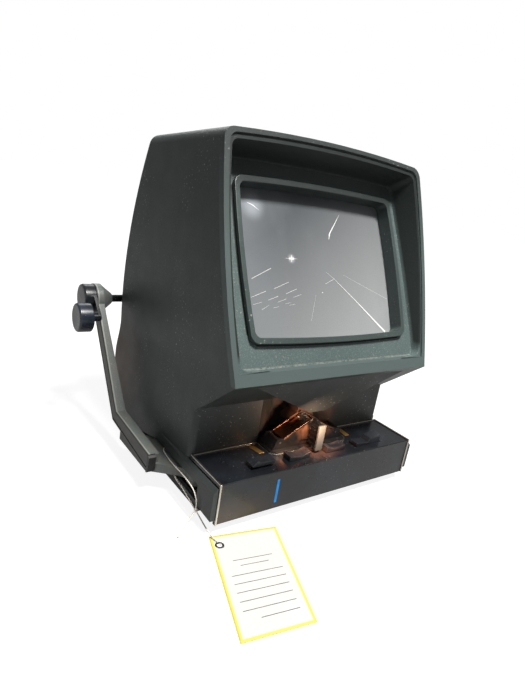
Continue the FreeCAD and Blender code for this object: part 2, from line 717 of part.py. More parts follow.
def control_deck():
    top = plan_prism(deck_plan(), DECK_Z - DECK_T, DECK_Z)
    half = HALF_W - 2 * PANEL_GAP
    front = box(-half, half, 0, DECK_T, FRONT_LOW_Z, DECK_Z)
    deck = rounded(top.fuse(front).removeSplitter(), 0.8,
                   lambda m, t: m.y < 0.01 and m.z > DECK_Z - 0.01)
    posts = [tube(POST_R, SCREW_SHANK_R + LOCATING_FIT, V(side * POST_X, POST_FRONT_Y, FLOOR_Z), Z_AXIS,
                  DECK_Z - DECK_T - FLOOR_Z) for side in (-1, 1)]
    deck = deck.fuse(posts)
    gate = plan_prism(grown(GATE_PLAN, PANEL_GAP), DECK_Z - DECK_T - 1, DECK_Z + 1)
    slots = [gate, tab_slot(MARK_X, TAB_Y, STEM_HALF_X + SLIDE_GAP, STEM_HALF_Y + SLIDE_GAP),
             tab_slot(FOCUS_X, TAB_Y, STEM_HALF_X + TAB_TRAVEL + SLIDE_GAP, STEM_HALF_Y + SLIDE_GAP),
             tab_slot(FRAME_X, TAB_Y, STEM_HALF_X + TAB_TRAVEL + SLIDE_GAP, STEM_HALF_Y + SLIDE_GAP),
             tab_slot(LAMP_X, TAB_Y, LAMP_HALF_X + 1.6, TAB_DEPTH / 2 + SLIDE_GAP), fin_slot()]
    return deck.cut(slots)


def fin_slot():
    """Slot in the deck for the format fin's stem."""
    start = FIN_FRONT_Y + STRIP_T - SLIDE_GAP
    length = FIN_STEM_LEN + FIN_TRAVEL + 2 * SLIDE_GAP
    return tab_slot(FIN_X, start + length / 2, FIN_STEM_HALF + SLIDE_GAP, length / 2)


def deck_trim():
    """Bright edging up the front corners, along the neck's foot and round the film gate."""
    half = HALF_W - 2 * PANEL_GAP
    back_y = neck_foot_y(half) - PANEL_GAP
    path = [(-half, 0), (-half, back_y), (-RECESS_HALF, NECK_MID_Y - PANEL_GAP)]
    top = DECK_Z + TRIM_T
    band = plan_prism(offset_band(path, -TRIM_W), DECK_Z, top)
    gate_room = plan_prism(grown(GATE_PLAN, PANEL_GAP), DECK_Z - 1, top + 1)
    ring = plan_prism(grown(GATE_PLAN, PANEL_GAP + TRIM_W), DECK_Z, top).common(
        plan_prism(deck_plan(), DECK_Z, top))
    upright = box(-half, -half + TRIM_W, -TRIM_T, 0, FRONT_LOW_Z, top)
    pieces = [mirrored(band), ring, upright, mirrored(upright)]
    return band.fuse(pieces).cut(gate_room).removeSplitter()


# ---- control tabs -------------------------------------------------------------------------------
def tab(x, y, top_points, foot):
    """Finger tab with a saddle top, a stem through the deck and a foot under it."""
    low = DECK_Z + TAB_RISE
    points = [(x + px, low + pz) for px, pz in top_points]
    head = front_prism(points, y - TAB_DEPTH / 2, y + TAB_DEPTH / 2)
    under = DECK_Z - DECK_T - foot
    stem = box(x - STEM_HALF_X, x + STEM_HALF_X, y - STEM_HALF_Y, y + STEM_HALF_Y, under, low)
    heel = box(x - STEM_HALF_X, x + STEM_HALF_X, y - STEM_HALF_Y - 2, y + STEM_HALF_Y + 2, under - 2, under)
    return head.fuse([stem, heel]).removeSplitter()


def mark_tab():
    low = MARK_TRAVEL
    points = [(-TAB_HALF, low), (TAB_HALF, low), (TAB_HALF, low + 2.8), (-3.0, low + 3.2),
              (-5.5, low + 4.6), (-TAB_HALF, low + 1.2)]
    neck = box(MARK_X - STEM_HALF_X, MARK_X + STEM_HALF_X, TAB_Y - STEM_HALF_Y, TAB_Y + STEM_HALF_Y,
               DECK_Z, DECK_Z + TAB_RISE + MARK_TRAVEL)
    return tab(MARK_X, TAB_Y, points, SLIDE_GAP).fuse(neck).removeSplitter()


def focus_tab():
    return tab(FOCUS_X, TAB_Y,
               [(-TAB_HALF, 0), (TAB_HALF, 0), (TAB_HALF, 5.0), (1.0, 2.0), (-TAB_HALF, 4.0)], SLIDE_GAP)


def frame_tab():
    return tab(FRAME_X, TAB_Y,
               [(-TAB_HALF, 0), (TAB_HALF, 0), (TAB_HALF, 4.0), (-1.0, 2.0), (-TAB_HALF, 5.0)], SLIDE_GAP)


def lamp_rocker():
    """Two-level rocker on a cross pin just under the deck."""
    low = ROCK_Z - 3
    points = [(LAMP_X - LAMP_HALF_X, DECK_Z - 1.0), (LAMP_X - 6, low), (LAMP_X + 6, low),
              (LAMP_X + LAMP_HALF_X, DECK_Z - 1.0), (LAMP_X + LAMP_HALF_X, DECK_Z + 6.6),
              (LAMP_X + 1.5, DECK_Z + 5.0), (LAMP_X - 0.5, DECK_Z + 1.6),
              (LAMP_X - LAMP_HALF_X, DECK_Z + 2.6)]
    head = front_prism(points, TAB_Y - TAB_DEPTH / 2, TAB_Y + TAB_DEPTH / 2)
    return head.cut(rod(ROCK_PIN_R + RUNNING_FIT, V(LAMP_X, TAB_Y - 20, ROCK_Z), Y_AXIS, 40))


def switch_body():
    """Switch case under the deck, with the rocker's cross pin."""
    top = DECK_Z - DECK_T
    half = TAB_DEPTH / 2 + SLIDE_GAP
    case = box(LAMP_X - 17, LAMP_X + 17, TAB_Y - half - 1.5, TAB_Y + half + 1.5, top - 14, top)
    room = box(LAMP_X - 15.5, LAMP_X + 15.5, TAB_Y - half, TAB_Y + half, top - 11, top + 1)
    pin = rod(ROCK_PIN_R, V(LAMP_X, TAB_Y - half - 1, ROCK_Z), Y_AXIS, 2 * half + 2)
    return case.cut(room).fuse(pin)


def mark_spring():
    """Leaf spring under the mark tab, hung from the deck."""
    top = DECK_Z - DECK_T
    heel_low = top - SLIDE_GAP - 2
    post = box(MARK_X + 12, MARK_X + 16, TAB_Y - 3, TAB_Y + 3, top - 8, top)
    tip_z = heel_low - MARK_TRAVEL - 0.4
    leaf = front_prism([(MARK_X + 12, top - 8), (MARK_X + 12, top - 7.2), (MARK_X - 4, tip_z),
                        (MARK_X - 4, tip_z - 0.8)], TAB_Y - 3, TAB_Y + 3)
    return post.fuse(leaf)


# ---- film gate ----------------------------------------------------------------------------------
def gate_block():
    """Black block that carries the film track, the rollers, the drum and the light passage."""
    y0 = GATE_Y - TRACK_HALF_W
    y1 = GATE_Y + TRACK_HALF_W
    low = SIDE_TOP_Z + PANEL_GAP
    base = plan_prism(GATE_PLAN, low, DECK_Z + GATE_RISE)
    recess = [(RECESS_HALF, NECK_MID_Y - 5), (RECESS_HALF, NECK_MID_Y), (RECESS_BACK_HALF, RECESS_BACK_Y),
              (-RECESS_BACK_HALF, RECESS_BACK_Y), (-RECESS_HALF, NECK_MID_Y), (-RECESS_HALF, NECK_MID_Y - 5)]
    back = plan_prism(grown(recess, -PANEL_GAP), low, DECK_Z + GATE_RISE)
    stem = box(-20, 20, y0, NECK_Y - PANEL_GAP, GATE_LOW_Z, DECK_Z)
    ridge = front_prism([(-TRACK_END_X, DECK_Z), (TRACK_END_X, DECK_Z), (TRACK_END_X, TRACK_END_Z - TRACK_T),
                         (0, APEX_Z - TRACK_T), (-TRACK_END_X, TRACK_END_Z - TRACK_T)], y0, y1)
    cheeks = [guide_cheeks(-1), guide_cheeks(1)]
    block = base.fuse([back, stem, ridge] + cheeks).removeSplitter()
    drum_room = rod(DRUM_R + TOOTH_H + 0.4, V(0, GATE_Y - 6.6, DRUM_Z), Y_AXIS, 13.2)
    head_room = box(-WINDOW_HALF, WINDOW_HALF, GATE_Y - 6.6, GATE_Y + 6.6, DRUM_Z, APEX_Z + 1)
    shaft_hole = rod(DRUM_SHAFT_R + RUNNING_FIT, V(0, y0 - 1, DRUM_Z), Y_AXIS, 2 * TRACK_HALF_W + 2)
    light = rod(LIGHT_R, V(0, GATE_Y, GATE_LOW_Z - 1), Z_AXIS, DRUM_Z - GATE_LOW_Z)
    plate_half = PLATE_HALF + FRAME_SHIFT + SLIDE_GAP
    plate_top = FRAME_PLATE_Z + FRAME_PLATE_T
    plate_room = box(-plate_half, plate_half, y0 - 1, GATE_Y + 6 + SLIDE_GAP, FRAME_PLATE_Z - SLIDE_GAP,
                     plate_top + SLIDE_GAP)
    lens_seat = rod(CONDENSER_R + LOCATING_FIT, V(0, GATE_Y, GATE_LOW_Z - 1), Z_AXIS,
                    CONDENSER_Z + CONDENSER_T - GATE_LOW_Z + 1)
    outside = box(-60, 60, 0, NECK_MID_Y - 5, DECK_Z - 1, DECK_Z + TRIM_T + SLIDE_GAP)
    outside = outside.cut(plan_prism(GATE_PLAN, DECK_Z - 2, DECK_Z + 5))
    rooms = [drum_room, head_room, shaft_hole, light, plate_room, lens_seat, track_room(0), outside]
    return block.cut(rooms)


def track_room(gap):
    """Room over the ridge for the track and the film, this far below the track's underside."""
    end = TRACK_END_Z - TRACK_T - gap
    apex = APEX_Z - TRACK_T - gap
    high = APEX_Z + 20
    half = TRACK_END_X + LOCATING_FIT
    return front_prism([(-half, end), (0, apex), (half, end), (half, high), (-half, high)],
                       GATE_Y - TRACK_HALF_W - gap, GATE_Y + TRACK_HALF_W + gap)


def ridge_room(gap):
    """Room for the ridge with its track, grown by the gap."""
    rise = TRACK_LIP + gap
    reach = (APEX_Z + rise - HOLDER_Z0 + 1) * TRACK_END_X / (APEX_Z - TRACK_END_Z)
    return front_prism([(-reach, HOLDER_Z0 - 1), (reach, HOLDER_Z0 - 1), (0, APEX_Z + rise)],
                       GATE_Y - TRACK_HALF_W - gap, GATE_Y + TRACK_HALF_W + gap)


def guide_cheeks(side):
    """Guide block at one end of the track, with a slot for the film roller."""
    y0 = GATE_Y - TRACK_HALF_W
    y1 = GATE_Y + TRACK_HALF_W
    inner = TRACK_END_X - 0.5
    points = [(side * inner, DECK_Z), (side * CHEEK_FOOT_X, DECK_Z), (side * CHEEK_TOP_X, CHEEK_TOP_Z),
              (side * inner, CHEEK_TOP_Z)]
    fork = front_prism(points, y0, y1)
    near = side * (TRACK_END_X + LOCATING_FIT)
    far = side * (ROLLER_X + ROLLER_R + 0.2)
    room = box(min(near, far), max(near, far), y0 + CHEEK_T, y1 - CHEEK_T, ROLLER_Z - ROLLER_R - SLIDE_GAP,
               CHEEK_TOP_Z + 1)
    pin_hole = rod(ROLLER_PIN_R + LOCATING_FIT, V(side * ROLLER_X, y0 - 1, ROLLER_Z), Y_AXIS, y1 - y0 + 2)
    return fork.cut([room, pin_hole])


def film_track():
    """Bent metal track over the ridge, with raised edges and a window over the drum."""
    y0 = GATE_Y - TRACK_HALF_W
    y1 = GATE_Y + TRACK_HALF_W
    end_low = TRACK_END_Z - TRACK_T
    low = [(-TRACK_END_X, end_low), (0, APEX_Z - TRACK_T), (TRACK_END_X, end_low)]
    top = [(TRACK_END_X, TRACK_END_Z), (0, APEX_Z), (-TRACK_END_X, TRACK_END_Z)]
    edge = [(TRACK_END_X, TRACK_END_Z + TRACK_LIP), (0, APEX_Z + TRACK_LIP),
            (-TRACK_END_X, TRACK_END_Z + TRACK_LIP)]
    track = front_prism(low + top, y0, y1)
    lips = [front_prism(low + edge, y0, y0 + 1.2), front_prism(low + edge, y1 - 1.2, y1)]
    window = box(-WINDOW_HALF, WINDOW_HALF, GATE_Y - 6.6, GATE_Y + 6.6, DRUM_Z, APEX_Z + 3)
    return track.fuse(lips).removeSplitter().cut(window)


def film_roller(side):
    """Waisted roller that guides the film on to the track."""
    half = TRACK_HALF_W - CHEEK_T - SLIDE_GAP
    waist = ROLLER_R - 0.5
    points = [V(ROLLER_PIN_R + RUNNING_FIT, -half, 0), V(ROLLER_R, -half, 0), V(ROLLER_R, -half + 2, 0),
              V(waist, -half + 2.8, 0), V(waist, half - 2.8, 0), V(ROLLER_R, half - 2, 0),
              V(ROLLER_R, half, 0),
              V(ROLLER_PIN_R + RUNNING_FIT, half, 0)]
    roller = Part.Face(Part.makePolygon(points + points[:1])).revolve(V(0, 0, 0), Y_AXIS, 360)
    roller.translate(V(side * ROLLER_X, GATE_Y, ROLLER_Z))
    return roller


def roller_pins():
    y0 = GATE_Y - TRACK_HALF_W
    pins = [rod(ROLLER_PIN_R, V(side * ROLLER_X, y0, ROLLER_Z), Y_AXIS, 2 * TRACK_HALF_W)
            for side in (-1, 1)]
    return Part.makeCompound(pins)


def sprocket_drum():
    """Two toothed wheels on one shaft, open between them for the prism."""
    half = 6.0
    wheel_t = 2.2
    wheels = []
    for y in (GATE_Y - half, GATE_Y + half - wheel_t):
        wheel = rod(DRUM_R, V(0, y, DRUM_Z), Y_AXIS, wheel_t)
        for i in range(8):
            tooth = box(-0.5, 0.5, y + 0.5, y + wheel_t - 0.5, DRUM_Z + DRUM_R - 0.6,
                        DRUM_Z + DRUM_R + TOOTH_H)
            tooth.rotate(V(0, y, DRUM_Z), Y_AXIS, i * 45)
            wheel = wheel.fuse(tooth)
        wheels.append(wheel)
    ends = [rod(DRUM_SHAFT_R, V(0, GATE_Y - TRACK_HALF_W + 0.3, DRUM_Z), Y_AXIS, TRACK_HALF_W - half + 0.5),
            rod(DRUM_SHAFT_R, V(0, GATE_Y + half - 0.8, DRUM_Z), Y_AXIS, TRACK_HALF_W - half + 0.5)]
    bars = []
    for i in range(4):
        bar = box(-0.7, 0.7, GATE_Y - half + 1, GATE_Y + half - 1, DRUM_Z + DRUM_R - 1.6,
                  DRUM_Z + DRUM_R - 0.4)
        bar.rotate(V(0, 0, DRUM_Z), Y_AXIS, 45 + i * 90)
        bars.append(bar)
    return wheels[0].fuse([wheels[1]] + ends + bars)


def drum_prism():
    """Four-sided glass prism between the wheels."""
    half = 6.0 - 2.2
    return box(-3.1, 3.1, GATE_Y - half, GATE_Y + half, DRUM_Z - 3.1, DRUM_Z + 3.1)


def aperture_plate():
    """Thin plate with the picture opening, under the drum."""
    plate = box(-PLATE_HALF, PLATE_HALF, GATE_Y - TRACK_HALF_W + 1, GATE_Y + 6, FRAME_PLATE_Z,
                FRAME_PLATE_Z + FRAME_PLATE_T)
    return plate.cut(box(-2.4, 2.4, GATE_Y - 1.8, GATE_Y + 1.8, FRAME_PLATE_Z - 1, FRAME_PLATE_Z + 3))


def condenser_lens():
    """Plain disc with a domed top that reaches into the light passage."""
    lens = rod(CONDENSER_R, V(0, GATE_Y, CONDENSER_Z), Z_AXIS, CONDENSER_T)
    dome_r = 14.0
    dome = Part.makeSphere(dome_r, V(0, GATE_Y, CONDENSER_Z + CONDENSER_T + 4 - dome_r))
    return lens.fuse(dome.common(rod(LIGHT_R - 0.3, V(0, GATE_Y, CONDENSER_Z + 2), Z_AXIS, 10)))


def format_grip():
    """Ribbed push-pull fin that picks the film format, on a sliding foot."""
    y0 = FIN_FRONT_Y + STRIP_T
    back = GATE_Y - TRACK_HALF_W - FIN_TRAVEL - SLIDE_GAP
    points = [(y0, FIN_LOW_Z), (back, FIN_LOW_Z), (back, FIN_TOP_Z + 1.5), (back - 4, FIN_TOP_Z + 1.5),
              (y0, FIN_TOP_Z - 1)]
    fin = side_prism(points, FIN_X - FIN_HALF_T + 1.0, FIN_X + FIN_HALF_T - 1.0)
    ribs = []
    for i in range(FIN_RIBS):
        z = FIN_LOW_Z + 2 + i * FIN_RIB_PITCH
        ribs.append(box(FIN_X - FIN_HALF_T, FIN_X + FIN_HALF_T, y0, back, z, z + FIN_RIB_T))
    foot = box(FIN_X - FIN_HALF_T, FIN_X + FIN_HALF_T, y0, y0 + FIN_STEM_LEN, DECK_Z + TAB_RISE, FIN_LOW_Z)
    under = DECK_Z - DECK_T - SLIDE_GAP
    stem = box(FIN_X - FIN_STEM_HALF, FIN_X + FIN_STEM_HALF, y0, y0 + FIN_STEM_LEN, under, FIN_LOW_Z)
    heel = box(FIN_X - FIN_STEM_HALF - 2, FIN_X + FIN_STEM_HALF + 2, y0, y0 + FIN_STEM_LEN, under - 2, under)
    return fin.fuse(ribs + [foot, stem, heel]).removeSplitter()


def grip_strip():
    """Pale facing on the front of the fin."""
    strip = box(FIN_X - STRIP_HALF_W, FIN_X + STRIP_HALF_W, FIN_FRONT_Y, FIN_FRONT_Y + STRIP_T,
                FIN_LOW_Z - 0.5, FIN_TOP_Z)
    return rounded(strip, 0.6, lambda m, t: abs(t.y) > 0.9)


# ---- light path ---------------------------------------------------------------------------------
def underside_z(y):
    """Outer face of the hood's sloping underside."""
    return RIM_LOW_Z + (NECK_TOP_Z - RIM_LOW_Z) * (y - RIM_LOW_Y) / (NECK_Y - RIM_LOW_Y)


def keel_form(inset):
    """V-shaped funnel under the hood, smaller by the inset."""
    tip = KEEL_TIP_Z + inset
    front_y = 7.0
    front = front_prism([(-KEEL_HALF + inset, underside_z(front_y)), (-KEEL_TIP_HALF + inset, tip),
                         (KEEL_TIP_HALF - inset, tip), (KEEL_HALF - inset, underside_z(front_y))],
                        0, HOLDER_Y1)
    slope = (KEEL_TIP_Y - front_y) / (underside_z(front_y) - KEEL_TIP_Z)
    side = [(front_y + inset, underside_z(front_y + inset)),
            (KEEL_TIP_Y + inset - slope * inset, tip), (HOLDER_Y1 - inset, tip),
            (HOLDER_Y1 - inset, NECK_TOP_Z), (NECK_Y, NECK_TOP_Z)]
    return front.common(side_prism(side, -KEEL_HALF, KEEL_HALF))


def beam_funnel():
    form = keel_form(0).cut(keel_form(KEEL_WALL))
    nose = box(-5, 5, KEEL_TIP_Y + 4, KEEL_TIP_Y + 22, KEEL_TIP_Z - 1, KEEL_TIP_Z + KEEL_WALL + 1)
    return form.cut([nose, lens_block(PANEL_GAP / 2)])


def lens_block(grow):
    """Body of the lens holder, grown for the room it needs."""
    half = HOLDER_HALF + grow
    low = BARREL_LOW_Z - 3
    block = box(-half, half, HOLDER_Y0 - grow, HOLDER_Y1 + grow, HOLDER_Z0 - grow, NECK_TOP_Z)
    sleeve = rod(BARREL_R + SLEEVE_T + RUNNING_FIT + grow, V(0, GATE_Y, low), Z_AXIS, BARREL_LEN)
    neck = box(-half, half, GATE_Y + 6, HOLDER_Y0 + 6 + grow, HOLDER_Z0 + 8, low + BARREL_LEN)
    return block.fuse([sleeve, neck])


def film_shoe():
    """Saddle under the holder whose wings lie along both slopes of the track."""
    fall = (APEX_Z - TRACK_END_Z) / TRACK_END_X
    shoulder = APEX_Z + SHOE_RISE - HOLDER_HALF * fall
    edge = APEX_Z + SHOE_RISE - SHOE_HALF * fall
    return front_prism([(-SHOE_HALF, HOLDER_Z0), (SHOE_HALF, HOLDER_Z0), (SHOE_HALF, edge),
                        (HOLDER_HALF, shoulder), (-HOLDER_HALF, shoulder), (-SHOE_HALF, edge)],
                       HOLDER_Y0, HOLDER_Y1)


def lens_holder():
    """Block behind the film with the sleeve that the lens barrel slides in."""
    bore = rod(BARREL_R + RUNNING_FIT, V(0, GATE_Y, BARREL_LOW_Z - 20), Z_AXIS, BARREL_LEN + 40)
    return lens_block(0).fuse(film_shoe()).cut([bore, ridge_room(0.6)]).removeSplitter()


def lens_barrel():
    barrel = tube(BARREL_R, BARREL_R - 1.6, V(0, GATE_Y, BARREL_LOW_Z), Z_AXIS, BARREL_LEN)
    flange = tube(BARREL_R, BARREL_R - 2.6, V(0, GATE_Y, BARREL_LOW_Z + 2), Z_AXIS, 2)
    return barrel.fuse(flange)


def projection_lens():
    """Glass seated on the flange inside the barrel."""
    radius = BARREL_R - 1.6 - LOCATING_FIT
    base = V(0, GATE_Y, BARREL_LOW_Z + 4)
    glass = rod(radius, base, Z_AXIS, 5)
    dome = Part.makeSphere(11.0, V(0, GATE_Y, BARREL_LOW_Z + 4 - 5))
    return glass.common(dome)


def fold_angle():
    """Tilt of the first mirror that sends the upright beam to the rear mirror, in degrees."""
    beam = math.degrees(math.atan2(MIRROR2_Z - MIRROR1_Z, MIRROR2_Y - GATE_Y))
    return 45 + beam / 2


def first_mirror():
    """Small mirror over the lens, reflecting face down and back."""
    plate = box(-MIRROR1_HALF_W, MIRROR1_HALF_W, -MIRROR1_HALF_L, MIRROR1_HALF_L, 0, MIRROR_T)
    plate.rotate(V(0, 0, 0), X_AXIS, fold_angle())
    plate.translate(V(0, GATE_Y, MIRROR1_Z))
    return plate


def mirror_bracket():
    """Sheet bracket from the hood's floor up to the first mirror's edges."""
    angle = math.radians(fold_angle())
    fall = (RIM_LOW_Z - NECK_TOP_Z) / (NECK_Y - RIM_LOW_Y)
    seat = underside_z(0) + WALL * math.sqrt(1 + fall ** 2) + 0.1
    reach = MIRROR1_HALF_L - 2
    low = GATE_Y - reach * math.cos(angle)
    high = GATE_Y + reach * math.cos(angle)
    rise = reach * math.sin(angle)
    points = [(low, MIRROR1_Z - rise), (high, MIRROR1_Z + rise), (high + 3, MIRROR1_Z + rise - 3),
              (high + 3, seat - fall * (high + 3)), (low, seat - fall * low)]
    cheek = side_prism(points, MIRROR1_HALF_W + 9, MIRROR1_HALF_W + 10.5)
    arm = box(MIRROR1_HALF_W + 0.1, MIRROR1_HALF_W + 10.5, GATE_Y - 3, GATE_Y + 3, MIRROR1_Z - 1.5,
              MIRROR1_Z + 1.5)
    return cheek.fuse(arm).cut(neck_recess(WALL + LOCATING_FIT))


def rear_mirror():
    plate = box(-MIRROR2_HALF_W, MIRROR2_HALF_W, 0, MIRROR_T + 1, -MIRROR2_HALF_H, MIRROR2_HALF_H)
    plate.rotate(V(0, 0, 0), X_AXIS, MIRROR2_TILT)
    plate.translate(V(0, MIRROR2_Y, MIRROR2_Z))
    return plate


def rear_mirror_frame():
    """Two rails between the rear mirror and the rear wall."""
    rails = []
    room = body_solid(WALL + PANEL_GAP / 2)
    back = rear_mirror()
    back.translate(V(0, MIRROR_T + 1 + 0.1, 0))
    for side in (-1, 1):
        near = side * (MIRROR2_HALF_W - 4)
        far = side * (MIRROR2_HALF_W - 4 - RAIL_W)
        height = MIRROR2_HALF_H - 4
        rail = box(min(near, far), max(near, far), MIRROR2_Y - RAIL_W, BACK_LOW_Y + 5, MIRROR2_Z - height,
                   MIRROR2_Z + height)
        front = box(-HALF_W, HALF_W, -HALF_W, MIRROR_T + 1 + 0.1, -2 * MIRROR2_HALF_H, 2 * MIRROR2_HALF_H)
        front.rotate(V(0, 0, 0), X_AXIS, MIRROR2_TILT)
        front.translate(V(0, MIRROR2_Y, MIRROR2_Z))
        rails.append(rail.common(room).cut(front))
    return Part.makeCompound(rails)


def lamp_socket():
    low = FLOOR_Z + HOUSE_T
    cup = rod(SOCKET_R, V(0, GATE_Y, low), Z_AXIS, SOCKET_H)
    return cup.cut(rod(BULB_BASE_R + LOCATING_FIT, V(0, GATE_Y, low + 2), Z_AXIS, SOCKET_H))


def lamp_bulb():
    """Small lamp with a metal base and a round envelope."""
    low = FLOOR_Z + HOUSE_T + 2
    base = rod(BULB_BASE_R, V(0, GATE_Y, low), Z_AXIS, BULB_Z - low)
    return base.fuse(Part.makeSphere(BULB_R, V(0, GATE_Y, BULB_Z)))


def lamp_house():
    """Vented sheet box round the lamp, standing on the tray's ledge under the light passage."""
    high = GATE_LOW_Z - LOCATING_FIT
    half = HOUSE_HALF
    y0 = GATE_Y - HOUSE_FRONT
    y1 = GATE_Y + HOUSE_HALF
    shield = box(-half, half, y0, y1, FLOOR_Z, high)
    room = box(HOUSE_T - half, half - HOUSE_T, y0 + HOUSE_T, y1 - HOUSE_T, FLOOR_Z + HOUSE_T, high + 1)
    vents = [box(-half - 1, half + 1, y0 + 4 + i * 5, y0 + 6 + i * 5, FLOOR_Z + 4, FLOOR_Z + 12)
             for i in range(4)]
    return shield.cut([room] + vents)


def transformer():
    """Laminated core with its bobbin, on the tray."""
    low = TRAY_LOW_Z + TRAY_T
    y0 = COIL_Y - COIL_HALF_Y
    y1 = COIL_Y + COIL_HALF_Y
    leg = COIL_HALF_X * 0.3
    core = box(COIL_X - COIL_HALF_X, COIL_X + COIL_HALF_X, y0, y1, low, low + COIL_H)
    outer = COIL_HALF_X - leg
    inner = COIL_HALF_X * 0.4
    windows = [box(COIL_X - outer, COIL_X - inner, y0 - 6, y1 + 6, low + leg, low + COIL_H - leg),
               box(COIL_X + inner, COIL_X + outer, y0 - 6, y1 + 6, low + leg, low + COIL_H - leg)]
    reach = outer - LOCATING_FIT
    bobbin = box(COIL_X - reach, COIL_X + reach, COIL_Y - BOBBIN_HALF_Y, COIL_Y + BOBBIN_HALF_Y,
                 low + leg + LOCATING_FIT, low + COIL_H - leg - LOCATING_FIT)
    middle = box(COIL_X - inner, COIL_X + inner, y0, y1, low, low + COIL_H)
    return core.cut(windows).fuse(bobbin.cut(middle))


# ---- covers and fasteners -----------------------------------------------------------------------
def rear_cover():
    """Vented panel lying on the rear wall."""
    skin = body_solid(0)
    thick = skin.copy()
    thick.translate(V(0, COVER_T, 0))
    area = box(-COVER_HALF, COVER_HALF, BACK_TOP_Y, BACK_LOW_Y + 10, COVER_LOW_Z, COVER_TOP_Z)
    panel = thick.common(area).cut(skin)
    panel = rounded(panel, 5.0, lambda m, t: abs(t.y) > 0.9 and abs(abs(m.x) - COVER_HALF) < 0.01)
    vents = []
    first = (COVER_LOW_Z + COVER_TOP_Z - (VENTS - 1) * VENT_PITCH - VENT_T) / 2
    for i in range(VENTS):
        z = first + i * VENT_PITCH
        for side in (-1, 1):
            vents.append(box(min(side * 5, side * 38), max(side * 5, side * 38), BACK_TOP_Y - 5,
                             BACK_LOW_Y + 20, z, z + VENT_T))
    holes = [screw_line(SCREW_HOLE_R, x, z, -10, 20) for x, z in cover_screw_places()]
    return panel.cut(vents + holes)


def cover_screw_places():
    x = COVER_HALF - COVER_LAP / 2
    return [(sx, z) for sx in (-x, x) for z in (COVER_LOW_Z + 6, COVER_TOP_Z - 6)]


def screw_line(radius, x, z, start, length):
    """Rod square to the rear wall, from this far outside the wall's face."""
    centre_y, centre_z, wall_r = rear_circle()
    face = V(0, rear_y(z), z)
    outward = face.sub(V(0, centre_y, centre_z)).normalize()
    return rod(radius, V(x, face.y + start * outward.y, z + start * outward.z), outward, length)


def cover_screws():
    screws = []
    for x, z in cover_screw_places():
        head = screw_line(SCREW_HEAD_R, x, z, COVER_T, 1.6)
        shank = screw_line(SCREW_SHANK_R, x, z, COVER_T - SCREW_LEN, SCREW_LEN)
        screws.append(head.fuse(shank))
    return Part.makeCompound(screws)


def cord_gland():
    """Bushed inlet for the mains cord, through the rear wall."""
    y = rear_y(GLAND_Z)
    body = rod(GLAND_R, V(GLAND_X, y - WALL - 3, GLAND_Z), Y_AXIS, WALL + 7)
    collar = rod(GLAND_R + 2.5, V(GLAND_X, y + 0.6, GLAND_Z), Y_AXIS, 2.4)
    return body.fuse(collar).cut(rod(GLAND_BORE_R, V(GLAND_X, y - 20, GLAND_Z), Y_AXIS, 40))


def tray_screw_places():
    """Places of the tray's screws, as (x, y, height of the seat)."""
    front = [(side * POST_X, POST_FRONT_Y, FLOOR_Z - TRAY_T) for side in (-1, 1)]
    rear = [(side * POST_X, POST_REAR_Y, TRAY_LOW_Z) for side in (-1, 1)]
    return front + rear


def bottom_tray():
    """Black pan that closes the underside, with a thin ledge under the front panel."""
    half = HALF_W - TRAY_INSET
    rear = tail_point(90).y - 1
    pan = plan_prism([(-half, TRAY_FRONT_Y), (half, TRAY_FRONT_Y), (half, rear - 12), (half - 12, rear),
                      (12 - half, rear), (-half, rear - 12)], TRAY_LOW_Z, FLOOR_Z)
    inner = half - TRAY_T
    well = plan_prism([(-inner, TRAY_FRONT_Y + TRAY_T), (inner, TRAY_FRONT_Y + TRAY_T), (inner, rear - 12),
                       (inner - 12, rear - TRAY_T), (12 - inner, rear - TRAY_T), (-inner, rear - 12)],
                      TRAY_LOW_Z + TRAY_T, FLOOR_Z + 1)
    ledge = box(-half, half, DECK_T + PANEL_GAP, TRAY_FRONT_Y + 1, FLOOR_Z - TRAY_T, FLOOR_Z)
    boss_h = PLATE_LOW_Z - PANEL_GAP - TRAY_LOW_Z
    post_h = FLOOR_Z - TRAY_LOW_Z
    bosses = [rod(PIN_HEAD_R, V(side * PIN_X, PIN_Y, TRAY_LOW_Z), Z_AXIS, boss_h) for side in (-1, 1)]
    bores = [rod(PIN_R + LOCATING_FIT, V(side * PIN_X, PIN_Y, TRAY_LOW_Z - 1), Z_AXIS, 40)
             for side in (-1, 1)]
    posts = [rod(POST_R, V(side * POST_X, POST_REAR_Y, TRAY_LOW_Z), Z_AXIS, post_h) for side in (-1, 1)]
    holes = [rod(SCREW_HOLE_R, V(x, y, z - 1), Z_AXIS, 20) for x, y, z in tray_screw_places()]
    return pan.cut(well).fuse([ledge] + bosses + posts).removeSplitter().cut(bores + holes)


def rubber_feet():
    feet = []
    for x in (-FOOT_X, FOOT_X):
        for y in (FOOT_FRONT_Y, FOOT_REAR_Y):
            feet.append(Part.makeCone(FOOT_R - 1, FOOT_R, TRAY_LOW_Z, V(x, y, 0), Z_AXIS))
    return Part.makeCompound(feet)


def tray_screws():
    screws = []
    for x, y, z in tray_screw_places():
        head = rod(SCREW_HEAD_R, V(x, y, z - 1.2), Z_AXIS, 1.2)
        reach = FLOOR_Z + WALL - 0.5 - z
        screws.append(head.fuse(rod(SCREW_SHANK_R, V(x, y, z - 0.1), Z_AXIS, reach)))
    return Part.makeCompound(screws)


